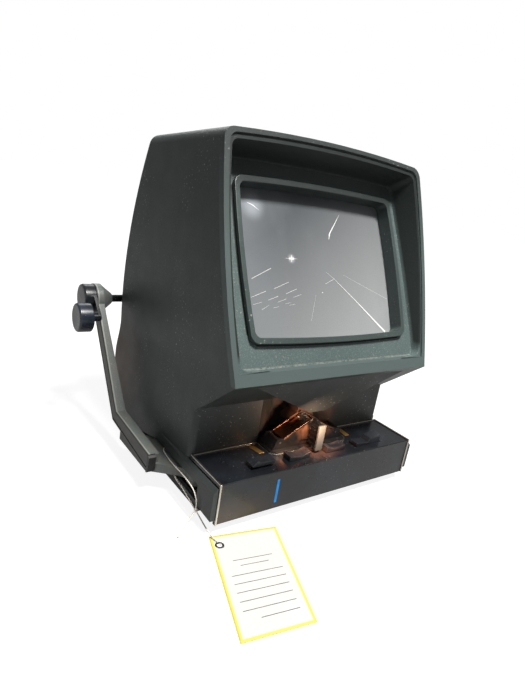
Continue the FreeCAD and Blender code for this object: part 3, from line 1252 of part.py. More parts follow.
def arm_pivot_pins():
    """Headed pins that the arms swing on, standing in the tray's bosses."""
    pins = []
    for side in (-1, 1):
        shank = rod(PIN_R, V(side * PIN_X, PIN_Y, TRAY_LOW_Z), Z_AXIS, PLATE_TOP_Z + PANEL_GAP - TRAY_LOW_Z)
        head = rod(PIN_HEAD_R, V(side * PIN_X, PIN_Y, PLATE_TOP_Z + PANEL_GAP), Z_AXIS, 2.0)
        pins.append(shank.fuse(head))
    return Part.makeCompound(pins)


# ---- reel arm, drawn for the left side ----------------------------------------------------------
def arm_stations():
    """Low end, bend and top of the arm in the side view, each with its square direction and half width."""
    low = (ARM_LOW_Y, ARM_LOW_Z)
    bend = (ARM_BEND_Y, ARM_BEND_Z)
    axis = (AXIS_Y, AXIS_Z)
    first = unit(low, bend)
    last = unit(bend, axis)
    top = (axis[0] - ARM_SET_BACK * last[1], axis[1] + ARM_SET_BACK * last[0])
    last = unit(bend, top)
    middle = unit((0, 0), (first[0] + last[0], first[1] + last[1]))
    spread = 1 / (first[0] * middle[0] + first[1] * middle[1])
    return [(low, first, ARM_LOW_HALF), (bend, middle, ARM_BEND_HALF * spread), (top, last, ARM_TOP_HALF)]


def arm_edge(inset, side):
    """One long edge of the arm, the upper (1) or the lower (-1), this far inside it."""
    points = []
    for (y, z), (dy, dz), half in arm_stations():
        reach = side * (half - inset)
        points.append((y - dz * reach, z + dy * reach))
    return points


def arm_plate_plan():
    """Outline of the swivel plate from the hub out to the arm."""
    outer = -ARM_OUT_X + 0.5
    return [(outer, ARM_LOW_Y + 3), (-PIN_X - 11.5, PIN_Y + 11), (-PIN_X - 4, PIN_Y + 2),
            (-PIN_X + 8, PIN_Y + 4), (-PIN_X + 6, PIN_Y + 20), (-PIN_X - 7.5, PIN_Y + 53),
            (-PIN_X - 14, PIN_Y + 65), (outer + ARM_T, PIN_Y + 79), (outer, PIN_Y + 79)]


def reel_arm():
    outer = -ARM_OUT_X
    inner = outer + ARM_T
    beam = side_prism(arm_edge(0, 1) + arm_edge(0, -1)[::-1], outer, inner)
    beam = rounded(beam, ARM_EDGE_R,
                   lambda m, t: abs(t.x) < 0.1 and abs(m.x - outer) < 0.01 and m.y > ARM_LOW_Y + 1)
    groove = side_prism(arm_edge(ARM_GROOVE, -1) + arm_edge(ARM_GROOVE + ARM_GROOVE_W, -1)[::-1], outer - 1,
                        outer + ARM_GROOVE_DEPTH)
    thin = outer + ARM_TOP_T
    slim = front_prism([(inner, ARM_BEND_Z + 10), (thin, AXIS_Z - 10), (thin, AXIS_Z + 30),
                        (inner + 5, AXIS_Z + 30), (inner + 5, ARM_BEND_Z + 10)], ARM_BEND_Y, AXIS_Y + 30)
    plate = plan_prism(arm_plate_plan(), PLATE_LOW_Z, PLATE_TOP_Z)
    hub = rod(HUB_R, V(-PIN_X, PIN_Y, PLATE_LOW_Z), Z_AXIS, PLATE_TOP_Z - PLATE_LOW_Z)
    arm = beam.cut([groove, slim]).fuse([plate, hub, boss()]).removeSplitter()
    pin_bore = rod(PIN_R + RUNNING_FIT, V(-PIN_X, PIN_Y, 0), Z_AXIS, 60)
    bore = rod(BUSH_R + LOCATING_FIT, V(outer - 1, AXIS_Y, AXIS_Z), X_AXIS, BOSS_T + CONE_T + 2)
    return arm.cut([pin_bore, bore])


def turned(profile, y, z):
    """Solid turned about a line along x from its (x, radius) outline."""
    points = [V(x, r, 0) for x, r in profile]
    form = Part.Face(Part.makePolygon(points + points[:1])).revolve(V(0, 0, 0), X_AXIS, 360)
    form.translate(V(0, y, z))
    return form


def boss():
    """Drum at the arm's top that narrows to the spindle."""
    outer = -ARM_OUT_X
    end = outer + BOSS_T
    waist_r = (BOSS_R + CONE_TIP_R) / 2
    tip = end + CONE_T
    profile = [(outer, 0), (outer, BOSS_R), (end - 1.2, BOSS_R), (end, BOSS_R - 1.2),
               (end + CONE_T * 0.4, waist_r), (tip, CONE_TIP_R), (tip, 0)]
    return turned(profile, AXIS_Y, AXIS_Z)


def spindle_bush():
    return tube(BUSH_R, SPINDLE_R + RUNNING_FIT, V(-ARM_OUT_X, AXIS_Y, AXIS_Z), X_AXIS, BOSS_T + CONE_T)


def arm_plug():
    """Black plug over the outer half of the arm's low end."""
    half = ARM_LOW_HALF + 0.6
    plug = side_prism([(ARM_LOW_Y - 3.2, ARM_LOW_Z - half + 1.5), (ARM_LOW_Y - 1.4, ARM_LOW_Z - half),
                       (ARM_LOW_Y - 0.2, ARM_LOW_Z - half), (ARM_LOW_Y - 0.2, ARM_LOW_Z + half),
                       (ARM_LOW_Y - 1.4, ARM_LOW_Z + half), (ARM_LOW_Y - 3.2, ARM_LOW_Z + half - 1.5)],
                      -ARM_OUT_X - 0.6, -ARM_OUT_X + PLUG_T)
    slant = math.degrees(math.atan2(ARM_BEND_Z - ARM_LOW_Z, ARM_BEND_Y - ARM_LOW_Y))
    plug.rotate(V(0, ARM_LOW_Y, ARM_LOW_Z), X_AXIS, slant)
    plate = plan_prism(grown(arm_plate_plan(), 0.1), PLATE_LOW_Z - 0.1, PLATE_TOP_Z + 0.1)
    return plug.cut(plate)


def spindle():
    """Splined reel spindle, black, with a rounded tip."""
    start = -ARM_OUT_X - CRANK_GAP - CAP_T / 2
    length = -SPINDLE_TIP_X - start
    shaft = rod(SPINDLE_R, V(start, AXIS_Y, AXIS_Z), X_AXIS, length)
    tip = V(-SPINDLE_TIP_X, AXIS_Y, AXIS_Z)
    cutter = rod(SPINDLE_R + 1, tip.sub(V(1.2, 0, 0)), X_AXIS, 2).cut(
        Part.makeCone(SPINDLE_R, SPINDLE_R - 1.2, 1.2, tip.sub(V(1.2, 0, 0)), X_AXIS))
    shaft = shaft.cut(cutter)
    first = -ARM_OUT_X + BOSS_T + CONE_T + 3
    grooves = []
    for i in range(3):
        groove = box(first, -SPINDLE_TIP_X + 1, AXIS_Y - 0.8, AXIS_Y + 0.8, AXIS_Z + SPINDLE_R - 1.1,
                     AXIS_Z + SPINDLE_R + 1)
        groove.rotate(V(0, AXIS_Y, AXIS_Z), X_AXIS, i * 120)
        grooves.append(groove)
    return shaft.cut(grooves)


def knob_centre():
    angle = math.radians(KNOB_DROP)
    return AXIS_Y - THROW * math.cos(angle), AXIS_Z - THROW * math.sin(angle)


def crank():
    """Round crank cap with a tapering lever and the knob's pin."""
    face = -ARM_OUT_X - CRANK_GAP
    far = face - CAP_T
    ky, kz = knob_centre()
    cap = turned([(face, 0), (face, CAP_R), (far + 1.8, CAP_R), (far + 0.5, CAP_R - 0.6), (far, CAP_R - 2.2),
                  (far, 0)], AXIS_Y, AXIS_Z)
    web = lever_web(AXIS_Y, AXIS_Z, CAP_R - 1, ky, kz, STUB_R, face - LEVER_T, face)
    stub = rod(STUB_R, V(face, ky, kz), V(-1, 0, 0), STUB_T)
    pin = rod(KNOB_PIN_R, V(face, ky, kz), V(-1, 0, 0), STUB_T + KNOB_T - 2)
    hole = rod(SPINDLE_R + LOCATING_FIT, V(face, AXIS_Y, AXIS_Z), V(-1, 0, 0), CAP_T / 2)
    return cap.fuse([web, stub, pin]).cut(hole)


def lever_web(y0, z0, r0, y1, z1, r1, x0, x1):
    """Plate that joins two discs along their outer tangents."""
    gap = math.hypot(y1 - y0, z1 - z0)
    along = math.atan2(z1 - z0, y1 - y0)
    open_angle = math.acos((r0 - r1) / gap)
    points = []
    for sign in (1, -1):
        angle = along + sign * open_angle
        pair = [(y0 + r0 * math.cos(angle), z0 + r0 * math.sin(angle)),
                (y1 + r1 * math.cos(angle), z1 + r1 * math.sin(angle))]
        points += pair[::sign]
    web = side_prism(points, x0, x1)
    discs = [rod(r0, V(x0, y0, z0), X_AXIS, x1 - x0), rod(r1, V(x0, y1, z1), X_AXIS, x1 - x0)]
    return web.fuse(discs)


def crank_knob():
    """Round knob that spins on the crank's pin, with a dished end."""
    near = -ARM_OUT_X - CRANK_GAP - STUB_T - SLIDE_GAP
    far = near - KNOB_T
    bore = KNOB_PIN_R + RUNNING_FIT
    return turned([(near, bore), (near, KNOB_R - 1.4), (near - 1.0, KNOB_R), (far + 1.6, KNOB_R),
                   (far + 0.4, KNOB_R - 0.6), (far, KNOB_R - 2.0), (far + 0.6, 0), (far + 1.8, 0),
                   (far + 1.8, bore)], *knob_centre())


# ---- string and tag -----------------------------------------------------------------------------
def cord(points, name):
    """Round string along straight runs joined by arcs that touch both runs."""
    edges = []
    radii = []
    here = points[0]
    for before, corner, after in zip(points, points[1:], points[2:]):
        back = before.sub(corner)
        ahead = after.sub(corner)
        reach = 0.45 * min(back.Length, ahead.Length)
        half = back.getAngle(ahead) / 2
        back.normalize()
        ahead.normalize()
        radius = reach * math.tan(half)
        radii.append(round(radius, 1))
        inward = back.add(ahead).normalize().multiply(reach / math.cos(half) - radius)
        start = corner.add(back.multiply(reach))
        end = corner.add(ahead.multiply(reach))
        edges += [line(here, start), arc(start, corner.add(inward), end)]
        here = end
    edges.append(line(here, points[-1]))
    path = Part.Wire(edges)
    ring = Part.Wire(Part.Circle(points[0], points[1].sub(points[0]), STRING_R).toShape())
    tube_solid = path.makePipeShell([ring], True, False)
    expected = math.pi * STRING_R ** 2 * path.Length
    print(name, "radii", radii, "length", round(path.Length, 1),
          "volume", round(tube_solid.Volume / expected, 3))
    return tube_solid


def string_upper():
    """From the pivot pin's head out of the slot, forward above the arm's plate and down to the knot."""
    z = PLATE_TOP_Z + STRING_R + SLIDE_GAP + 0.2
    side = -HALF_W - FLARE
    return cord([V(-PIN_X - 2.5, PIN_Y + 6, z), V(-91.2, 61, z), V(-91.5, 71, z), V(-92.8, 78, z),
                 V(-94.6, 82.6, z), V(-98.8, 84, z), V(-102, 80.4, z), V(side, 73.5, z), V(side - 1, 60, z),
                 V(side - 0.6, 41, z), V(side - 1.4, 25.5, z - 0.2), V(side - 1.1, 19.4, z - 4.6),
                 V(KNOT_X, KNOT_Y, KNOT_Z + KNOT_R + 0.1)], "string_upper")


def string_lower():
    """From the knot back under the arm's plate and through the slot to the pivot pin's boss."""
    z = PLATE_LOW_Z - STRING_R - SLIDE_GAP - 0.5
    side = -HALF_W - FLARE
    return cord([V(KNOT_X, KNOT_Y + KNOT_R + 0.1, KNOT_Z), V(side - 1.1, 29.5, z - 2.6),
                 V(side - 0.7, 41, z - 0.5),
                 V(side - 0.4, 52, z), V(-102.5, 60, z), V(-97.8, 62, z), V(-94.1, 57.4, z),
                 V(-PIN_X - 2.2, PIN_Y + 6, z)], "string_lower")


def string_tie():
    """From the knot down to the tag's eyelet."""
    return cord([V(KNOT_X, KNOT_Y - KNOT_R - 0.1, KNOT_Z - 0.4), V(KNOT_X + 0.9, 8.2, 5.6),
                 V(KNOT_X + 1.6, -1.5, 2.4),
                 V(TAG_HOLE_X - 0.2, TAG_HOLE_Y + 2.4, TAG_Z + TAG_T + STRING_R + 0.3)],
                "string_tie")


def string_tail():
    """Loose end of the string, down to the table."""
    return cord([V(KNOT_X - KNOT_R - 0.1, KNOT_Y - 0.3, KNOT_Z - 0.2), V(-111, 15.4, 5.2),
                 V(-117, 10.8, 1.6), V(-123, 7, STRING_R + 0.1)], "string_tail")


def string_knot():
    return Part.makeSphere(KNOT_R, V(KNOT_X, KNOT_Y, KNOT_Z))


def tag_card():
    """Card tag with a metal eyelet, lying on the table."""
    card = plan_prism([(-103, -1), (-52, -11), (-82, -93), (-131, -85)], TAG_Z, TAG_Z + TAG_T)
    ring = rod(EYELET_R + 1.4, V(TAG_HOLE_X, TAG_HOLE_Y, TAG_Z), Z_AXIS, TAG_T + 0.2)
    return card.fuse(ring).cut(rod(EYELET_R, V(TAG_HOLE_X, TAG_HOLE_Y, TAG_Z - 1), Z_AXIS, 4))


# ---- output -------------------------------------------------------------------------------------
def nodes():
    named = {
        "hood_housing": hood_housing(), "screen_mask": screen_mask(), "screen_ring": screen_ring(),
        "screen": screen(), "control_deck": control_deck(), "deck_trim": deck_trim(),
        "mark_tab": mark_tab(), "focus_tab": focus_tab(), "frame_tab": frame_tab(),
        "lamp_rocker": lamp_rocker(), "switch_body": switch_body(), "mark_spring": mark_spring(),
        "gate_block": gate_block(), "film_track": film_track(), "roller_pins": roller_pins(),
        "left_film_roller": film_roller(-1), "right_film_roller": film_roller(1),
        "sprocket_drum": sprocket_drum(), "drum_prism": drum_prism(), "aperture_plate": aperture_plate(),
        "condenser_lens": condenser_lens(), "format_grip": format_grip(), "grip_strip": grip_strip(),
        "beam_funnel": beam_funnel(), "lens_holder": lens_holder(), "lens_barrel": lens_barrel(),
        "projection_lens": projection_lens(), "first_mirror": first_mirror(),
        "rear_mirror": rear_mirror(), "rear_mirror_frame": rear_mirror_frame(),
        "lamp_socket": lamp_socket(), "lamp_bulb": lamp_bulb(), "lamp_house": lamp_house(),
        "transformer": transformer(), "rear_cover": rear_cover(), "cover_screws": cover_screws(),
        "cord_gland": cord_gland(), "bottom_tray": bottom_tray(), "rubber_feet": rubber_feet(),
        "tray_screws": tray_screws(), "arm_pivot_pins": arm_pivot_pins(),
        "string_upper": string_upper(), "string_lower": string_lower(), "string_tie": string_tie(),
        "string_tail": string_tail(), "string_knot": string_knot(), "tag_card": tag_card(),
    }
    bracket = mirror_bracket()
    named["mirror_bracket"] = bracket.fuse(mirrored(bracket))
    left = {"reel_arm": reel_arm(), "spindle_bush": spindle_bush(), "arm_plug": arm_plug(),
            "spindle": spindle(), "crank": crank(), "crank_knob": crank_knob()}
    for name, shape in left.items():
        named["left_" + name] = shape
        named["right_" + name] = mirrored(shape)
    return named


def main():
    os.makedirs("parts", exist_ok=True)
    for name, shape in nodes().items():
        placed = shape.copy()
        placed.translate(V(0, -ORIGIN_Y, 0))
        placed.exportStep("parts/" + name + ".step")


main()
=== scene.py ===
"""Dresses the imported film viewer: enamel, gloss black, bright trim, glass, string and tag."""
import bpy
import bmesh
import json
import math
from mathutils import Matrix, Vector


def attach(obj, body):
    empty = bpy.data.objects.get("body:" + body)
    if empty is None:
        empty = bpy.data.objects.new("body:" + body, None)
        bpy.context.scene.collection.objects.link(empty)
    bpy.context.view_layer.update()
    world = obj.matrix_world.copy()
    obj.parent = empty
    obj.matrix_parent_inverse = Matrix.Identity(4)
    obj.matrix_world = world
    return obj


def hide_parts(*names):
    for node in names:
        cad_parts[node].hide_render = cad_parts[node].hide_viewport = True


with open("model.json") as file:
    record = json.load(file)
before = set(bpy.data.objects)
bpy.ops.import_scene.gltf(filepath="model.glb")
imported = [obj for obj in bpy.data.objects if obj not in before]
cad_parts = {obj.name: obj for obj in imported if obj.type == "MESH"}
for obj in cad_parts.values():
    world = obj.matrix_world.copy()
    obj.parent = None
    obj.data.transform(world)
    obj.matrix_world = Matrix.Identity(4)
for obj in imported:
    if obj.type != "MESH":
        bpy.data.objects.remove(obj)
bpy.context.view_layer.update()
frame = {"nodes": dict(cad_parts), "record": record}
MM = 0.001
ORIGIN_Y = 109.5            # the part's origin lies this far behind the deck's front panel


def at(x, y, z):
    """A point of the part's drawing, in millimetres with y from the front panel, in metres."""
    return Vector((x * MM, (y - ORIGIN_Y) * MM, z * MM))


def srgb(r, g, b):
    """A colour as it shows on a screen, 0 to 255, in Blender's linear values."""
    def one(c):
        c /= 255.0
        return c / 12.92 if c <= 0.04045 else ((c + 0.055) / 1.055) ** 2.4
    return (one(r), one(g), one(b), 1.0)


# ---- camera -------------------------------------------------------------------------------------
EYE = at(-280.9, -251.9, 238.4)
AZIMUTH, ELEVATION, ROLL = 0.667, 0.307, 0.165
PICTURE = (525.0, 700.0)    # width and height in pixels
FOCAL_PX = 526.0
SENSOR = 36.0               # millimetres


def camera_axes():
    """Right, up and ahead of the camera."""
    ahead = Vector((math.sin(AZIMUTH) * math.cos(ELEVATION), math.cos(AZIMUTH) * math.cos(ELEVATION),
                    -math.sin(ELEVATION)))
    right = Vector((math.cos(AZIMUTH), -math.sin(AZIMUTH), 0))
    up = right.cross(ahead)
    turned = math.cos(ROLL) * right + math.sin(ROLL) * up
    lifted = -math.sin(ROLL) * right + math.cos(ROLL) * up
    return turned, lifted, ahead


def make_camera():
    right, up, ahead = camera_axes()
    data = bpy.data.cameras.new("camera")
    data.sensor_width = SENSOR
    data.lens = FOCAL_PX / PICTURE[1] * SENSOR
    data.clip_start = 0.01
    camera = bpy.data.objects.new("camera", data)
    bpy.context.collection.objects.link(camera)
    turn = Matrix((right, up, -ahead)).transposed().to_4x4()
    camera.matrix_world = Matrix.Translation(EYE) @ turn
    bpy.context.scene.camera = camera


def seen(u, v, point, normal):
    """Where the line of sight through this place of the picture meets a plane."""
    right, up, ahead = camera_axes()
    ray = (u - PICTURE[0] / 2) / FOCAL_PX * right - (v - PICTURE[1] / 2) / FOCAL_PX * up + ahead
    return EYE + ray * ((point - EYE).dot(normal) / ray.dot(normal))


# ---- planes of the part, in the drawing's millimetres -------------------------------------------
RIM_LOW = (2.4, 110.2)      # (y, z) of the housing's rim, at its foot and top
RIM_TOP = (57.0, 268.2)
MASK_LOW = (12.7, 118.2)    # (y, z) of the screen panel's face
MASK_TOP = (76.0, 250.4)
GLASS_DEPTH = 7.86          # the glass lies this far behind the panel's face
PANEL_MIDDLE_Z = 180        # height near the middle of the panel


def on_panel(x, z, depth):
    """A place this far behind the screen panel's sloping face, in the drawing's millimetres."""
    slope = (MASK_TOP[0] - MASK_LOW[0]) / (MASK_TOP[1] - MASK_LOW[1])
    length = math.sqrt(1 + slope ** 2)
    return (x, MASK_LOW[0] + slope * (z - MASK_LOW[1]) + depth / length, z - depth * slope / length)


PANEL_NORMAL = (at(*on_panel(0, PANEL_MIDDLE_Z, 0)) - at(*on_panel(0, PANEL_MIDDLE_Z, 10))).normalized()
GLASS_POINT = at(*on_panel(0, PANEL_MIDDLE_Z, GLASS_DEPTH))


# ---- shaders ------------------------------------------------------------------------------------
def add_node(tree, kind, links=(), **settings):
    """A new node with these settings, its inputs linked to outputs or set to plain values."""
    node = tree.nodes.new(kind)
    for key, value in settings.items():
        setattr(node, key, value)
    for socket, value in dict(links).items():
        if isinstance(value, bpy.types.NodeSocket):
            tree.links.new(value, node.inputs[socket])
        else:
            node.inputs[socket].default_value = value
    return node


class Paint:
    """One Principled material and the nodes that vary it over the surface."""

    def __init__(self, name, colour, rough=0.5, metal=0.0, **sockets):
        self.material = bpy.data.materials.new(name)
        self.material.use_nodes = True
        self.tree = self.material.node_tree
        self.shader = self.tree.nodes["Principled BSDF"]
        self.colour = colour
        self.put("Base Color", colour)
        self.put("Roughness", rough)
        self.put("Metallic", metal)
        for key, value in sockets.items():
            self.put(key.replace("_", " "), value)
        self.place = self.make("ShaderNodeTexCoord").outputs["Object"]

    def put(self, socket, value):
        self.shader.inputs[socket].default_value = value

    def make(self, kind, links=(), **settings):
        return add_node(self.tree, kind, links, **settings)

    def noise(self, scale, detail=2.0, stretch=None, distortion=0.0):
        """Grey noise with this many features to the metre, drawn out along an axis if asked."""
        place = self.place
        if stretch:
            place = self.make("ShaderNodeMapping", {"Vector": place, "Scale": stretch}).outputs["Vector"]
        links = {"Vector": place, "Scale": scale, "Detail": detail, "Distortion": distortion}
        return self.make("ShaderNodeTexNoise", links).outputs["Fac"]

    def waves(self, scale, direction, distortion=0.0):
        links = {"Vector": self.place, "Scale": scale, "Distortion": distortion}
        return self.make("ShaderNodeTexWave", links, bands_direction=direction).outputs["Fac"]

    def math(self, what, a, b):
        return self.make("ShaderNodeMath", {0: a, 1: b}, operation=what).outputs[0]

    def along(self, axis):
        return self.make("ShaderNodeSeparateXYZ", {"Vector": self.place}).outputs[axis]

    def band(self, value, low, high):
        """Nought at the low value and beyond, one at the high one and beyond."""
        links = {"Value": value, "From Min": low, "From Max": high}
        return self.make("ShaderNodeMapRange", links, clamp=True).outputs["Result"]

    def height(self, low, high):
        """Nought at the first height and one at the second, in millimetres."""
        return self.band(self.along("Z"), low * MM, high * MM)

    def depth(self, plane_low, plane_high, low, high):
        """Nought and one at these depths in millimetres behind the plane through two (y, z) places."""
        slope = (plane_high[0] - plane_low[0]) / (plane_high[1] - plane_low[1])
        level = (plane_low[0] - ORIGIN_Y - slope * plane_low[1]) * MM
        rise = self.math("MULTIPLY", self.along("Z"), slope)
        ahead = self.math("SUBTRACT", self.along("Y"), self.math("ADD", rise, level))
        return self.band(self.math("DIVIDE", ahead, math.sqrt(1 + slope ** 2)), low * MM, high * MM)

    def near(self, spot, reach, core):
        """One within the core's radius of a place, nought beyond the reach, both in millimetres."""
        offset = self.make("ShaderNodeVectorMath", {0: self.place, 1: spot}, operation="SUBTRACT")
        away = self.make("ShaderNodeVectorMath", {0: offset.outputs["Vector"]}, operation="LENGTH")
        links = {"Value": away.outputs["Value"], "From Min": reach * MM, "From Max": core * MM}
        return self.make("ShaderNodeMapRange", links, interpolation_type="SMOOTHERSTEP").outputs["Result"]

    def lay(self, colour, *masks):
        """Lay another colour over what is there, by the product of these masks and shares."""
        factor = masks[0]
        for mask in masks[1:]:
            factor = self.math("MULTIPLY", factor, mask)
        before = self.shader.inputs["Base Color"].links
        under = before[0].from_socket if before else self.colour
        mix = self.make("ShaderNodeMix", {0: factor, 6: under, 7: colour}, data_type="RGBA")
        self.tree.links.new(mix.outputs[2], self.shader.inputs["Base Color"])
        return self

    def gloss(self, factor, low, high):
        """Let the roughness run between two values."""
        links = {"Value": factor, "To Min": low, "To Max": high}
        node = self.make("ShaderNodeMapRange", links, clamp=True)
        self.tree.links.new(node.outputs["Result"], self.shader.inputs["Roughness"])
        return self

    def bump(self, height, depth, strength=1.0):
        """Raise the surface by this many metres where the height is one."""
        links = {"Height": height, "Distance": depth, "Strength": strength}
        before = self.shader.inputs["Normal"].links
        if before:
            links["Normal"] = before[0].from_socket
        node = self.make("ShaderNodeBump", links)
        self.tree.links.new(node.outputs["Normal"], self.shader.inputs["Normal"])
        return self


# ---- kinds of finish: colours as sRGB, noise in features to the metre, bumps in metres ----------
DARK = srgb(56, 62, 62)     # the housing's enamel
LAMP_SPOT = at(4, 30, 62)   # middle of the painted lamp light in the gate


def dusty(paint, amount=1.0, colour=srgb(150, 150, 142)):
    """Fine specks and short faint scratches of pale dust."""
    specks = paint.band(paint.noise(620, 1.0), 0.70 - 0.01 * amount, 0.72)
    patches = paint.band(paint.noise(22, 2.0), 0.45, 0.65)
    paint.lay(colour, specks, patches, 0.85)
    lines = paint.band(paint.noise(260, 1.0, (1.0, 1.0, 7.0)), 0.75, 0.775)
    return paint.lay(colour, lines, 0.18 * amount)


def enamel(name, colour, deep, light, rough=0.42, grain=0.00012, scale=2000):
    """Fine-grained stoved enamel, with tone patches, dust and a little wear."""
    paint = Paint(name, colour, rough, Specular_IOR_Level=0.45)
    paint.lay(deep, paint.band(paint.noise(14, 3.0), 0.35, 0.75))
    fine = paint.noise(scale, 2.0)
    paint.lay(light, paint.band(fine, 0.50, 0.70), 0.45)
    dusty(paint)
    paint.gloss(paint.noise(60, 3.0), rough - 0.07, rough + 0.12)
    return paint.bump(fine, grain, 0.6).bump(paint.noise(650, 1.0), grain * 1.2, 0.35)


def gloss_black(name, colour, smear, rough=0.2):
    """Moulded gloss black with finger marks and dust."""
    paint = Paint(name, colour, rough, Coat_Weight=0.25, Coat_Roughness=0.12)
    paint.lay(smear, paint.band(paint.noise(30, 4.0, distortion=0.6), 0.45, 0.75))
    dusty(paint, 0.0, srgb(104, 106, 106))
    paint.gloss(paint.noise(48, 5.0, distortion=0.8), rough - 0.04, rough + 0.24)
    return paint.bump(paint.noise(300, 3.0), 0.00004, 0.5)


def satin_black(name, colour=srgb(24, 25, 26), rough=0.42, grain=1500):
    """Moulded satin black, fine-grained and dusty."""
    paint = Paint(name, colour, rough)
    fine = paint.noise(grain, 2.0)
    paint.lay(srgb(60, 62, 62), paint.band(fine, 0.5, 0.75), 0.4)
    dusty(paint, 1.2)
    paint.gloss(paint.noise(70, 3.0), rough - 0.1, rough + 0.15)
    return paint.bump(fine, 0.0001, 0.5)


def metal(name, colour, rough=0.3, run=(1.0, 60.0, 60.0), tint=None):
    """Drawn or ground metal, with a grain that runs one way and soft stains."""
    paint = Paint(name, colour, rough, 1.0)
    lines = paint.noise(40, 3.0, run)
    if tint:
        paint.lay(tint, paint.band(paint.noise(55, 3.0), 0.4, 0.72))
    paint.gloss(lines, rough - 0.1, rough + 0.15)
    return paint.bump(lines, 0.00003, 0.5)


def plain(name, colour, rough, speck, scale=500, depth=0.00005):
    """Moulded matt stuff with a faint mottle."""
    paint = Paint(name, colour, rough)
    fine = paint.noise(scale, 3.0)
    paint.lay(speck, paint.band(fine, 0.45, 0.75), 0.5)
    paint.gloss(paint.noise(90, 2.0), rough - 0.05, rough + 0.12)
    return paint.bump(fine, depth, 0.5)


def lamp_warmed(paint, reach, core, share):
    """Painted copper light of the lamp below the gate, patchy and strongest at the track's crest."""
    patches = paint.band(paint.noise(90, 2.0, distortion=0.8), 0.35, 0.62)
    return paint.lay(srgb(186, 126, 92), paint.near(LAMP_SPOT, reach, core), patches, share)


# ---- finish of each piece -----------------------------------------------------------------------
def housing_finish():
    """Dark green-grey enamel, with painted light on the rim's lower half (greener and paler), a painted warm
    reflection at the low rear, and painted lamp light near the gate.
    """
    paint = enamel("housing_enamel", DARK, srgb(49, 54, 54), srgb(80, 87, 86))
    # painted light: the rim's lower half is paler where the key light falls
    paint.lay(srgb(84, 97, 96), paint.depth(RIM_LOW, RIM_TOP, 6.5, 4.5), paint.height(262, 190),
              paint.height(108.5, 110.5), 0.9)
    # painted warm reflection from below, at the low rear corners
    for x in (-100, 100):
        paint.lay(srgb(84, 62, 46), paint.near(at(x, 186, 58), 62, 8), 0.7)
    # painted copper lamp light near the gate
    return lamp_warmed(paint, 52, 12, 0.5)


def arm_finish():
    """Grey-green enamel with dusty patches, painted shade on the arms' outer sides and a painted highlight
    along their edges.
    """
    paint = enamel("arm_enamel", srgb(112, 118, 116), srgb(97, 99, 95), srgb(150, 156, 152), 0.36, 0.00014)
    paint.lay(srgb(136, 124, 110), paint.band(paint.noise(70, 3.0), 0.52, 0.68), 0.35)
    outward = paint.math("ABSOLUTE", paint.along("X"), 0.0)
    # painted shade on the arms' outer sides
    paint.lay(srgb(46, 42, 39), paint.band(outward, 120.6 * MM, 121.4 * MM), 0.85)
    # painted highlight along the outer edges
    edge = (paint.band(outward, 119.8 * MM, 120.6 * MM), paint.band(outward, 121.4 * MM, 120.8 * MM))
    return paint.lay(srgb(190, 192, 188), *edge, 0.6)


def mask_finish():
    """Grained enamel of the screen panel, with painted shadow of the hood's top over its upper part, painted
    shade in the throat, and dust in the crease above the lip.
    """
    paint = enamel("mask_enamel", srgb(84, 98, 97), srgb(74, 87, 86), srgb(122, 136, 134), 0.42, 0.0002, 1150)
    # painted shadow of the hood's top over the panel's upper part
    paint.lay(srgb(56, 60, 59), paint.height(233, 245), 0.75)
    # painted shade on the throat's walls
    paint.lay(srgb(36, 42, 41), paint.depth(MASK_LOW, MASK_TOP, -0.8, -3.0), paint.height(124, 130))
    dust = paint.band(paint.noise(420, 3.0), 0.35, 0.6)
    return paint.lay(srgb(172, 174, 164), paint.height(118.9, 118.5), dust, 0.38)


def ring_finish():
    """Enamel of the screen's ring, with painted shadow of the hood's brow over its top."""
    paint = enamel("ring_enamel", srgb(64, 75, 74), srgb(56, 66, 65), srgb(88, 100, 98), 0.34)
    # painted shadow on the ring's upper part
    return paint.lay(srgb(38, 42, 41), paint.height(228, 238), 0.8)


def deck_finish():
    """Gloss black of the deck, with a painted warm reflection along its panel's left part and painted lamp
    light near the gate.
    """
    paint = gloss_black("deck_black", srgb(20, 22, 26), srgb(34, 39, 46))
    # painted warm reflection on the panel's left part
    left = paint.band(paint.along("X"), -35 * MM, -90 * MM)
    paint.lay(srgb(92, 76, 62), left, paint.height(30, 14), 0.5)
    return lamp_warmed(paint, 44, 14, 0.3)


GLOW = (252, 205)           # places of the picture: a soft reflection and a star-like glint on the glass
STAR = (291.6, 258.6)


def screen_glass():
    """Grey ground glass with painted reflections, paler towards its lower right and left edge and at a soft
    glow and a glint, with a fine tooth and faint smears.
    """
    paint = Paint("screen_glass", srgb(76, 80, 84), 0.4, Coat_Weight=0.3, Coat_Roughness=0.1)
    # painted reflections: paler towards the lower right and the left edge
    slant = paint.math("SUBTRACT", paint.math("MULTIPLY", paint.along("X"), 0.6), paint.along("Z"))
    paint.lay(srgb(156, 158, 160), paint.band(slant, -231 * MM, -110 * MM))
    paint.lay(srgb(146, 151, 156), paint.band(paint.along("X"), -28 * MM, -78 * MM), 0.4)
    for place, reach, share, tone in ((GLOW, 15, 0.45, srgb(196, 203, 212)),
                                      (STAR, 5, 0.4, srgb(240, 242, 246))):
        paint.lay(tone, paint.near(seen(*place, GLASS_POINT, PANEL_NORMAL), reach, 0), share)
    paint.lay(srgb(128, 132, 134), paint.band(paint.noise(22, 4.0, (1, 1, 0.35)), 0.5, 0.75), 0.3)
    tooth = paint.noise(2600, 1.0)
    paint.lay(srgb(70, 74, 76), paint.band(tooth, 0.45, 0.75), 0.2)
    return paint.bump(tooth, 0.00003, 0.4)


def clear_glass():
    """Glass of the lenses and the prism."""
    paint = Paint("optical_glass", srgb(225, 235, 235), 0.04, Transmission_Weight=0.9, IOR=1.5)
    return paint.gloss(paint.noise(200, 3.0), 0.02, 0.12)


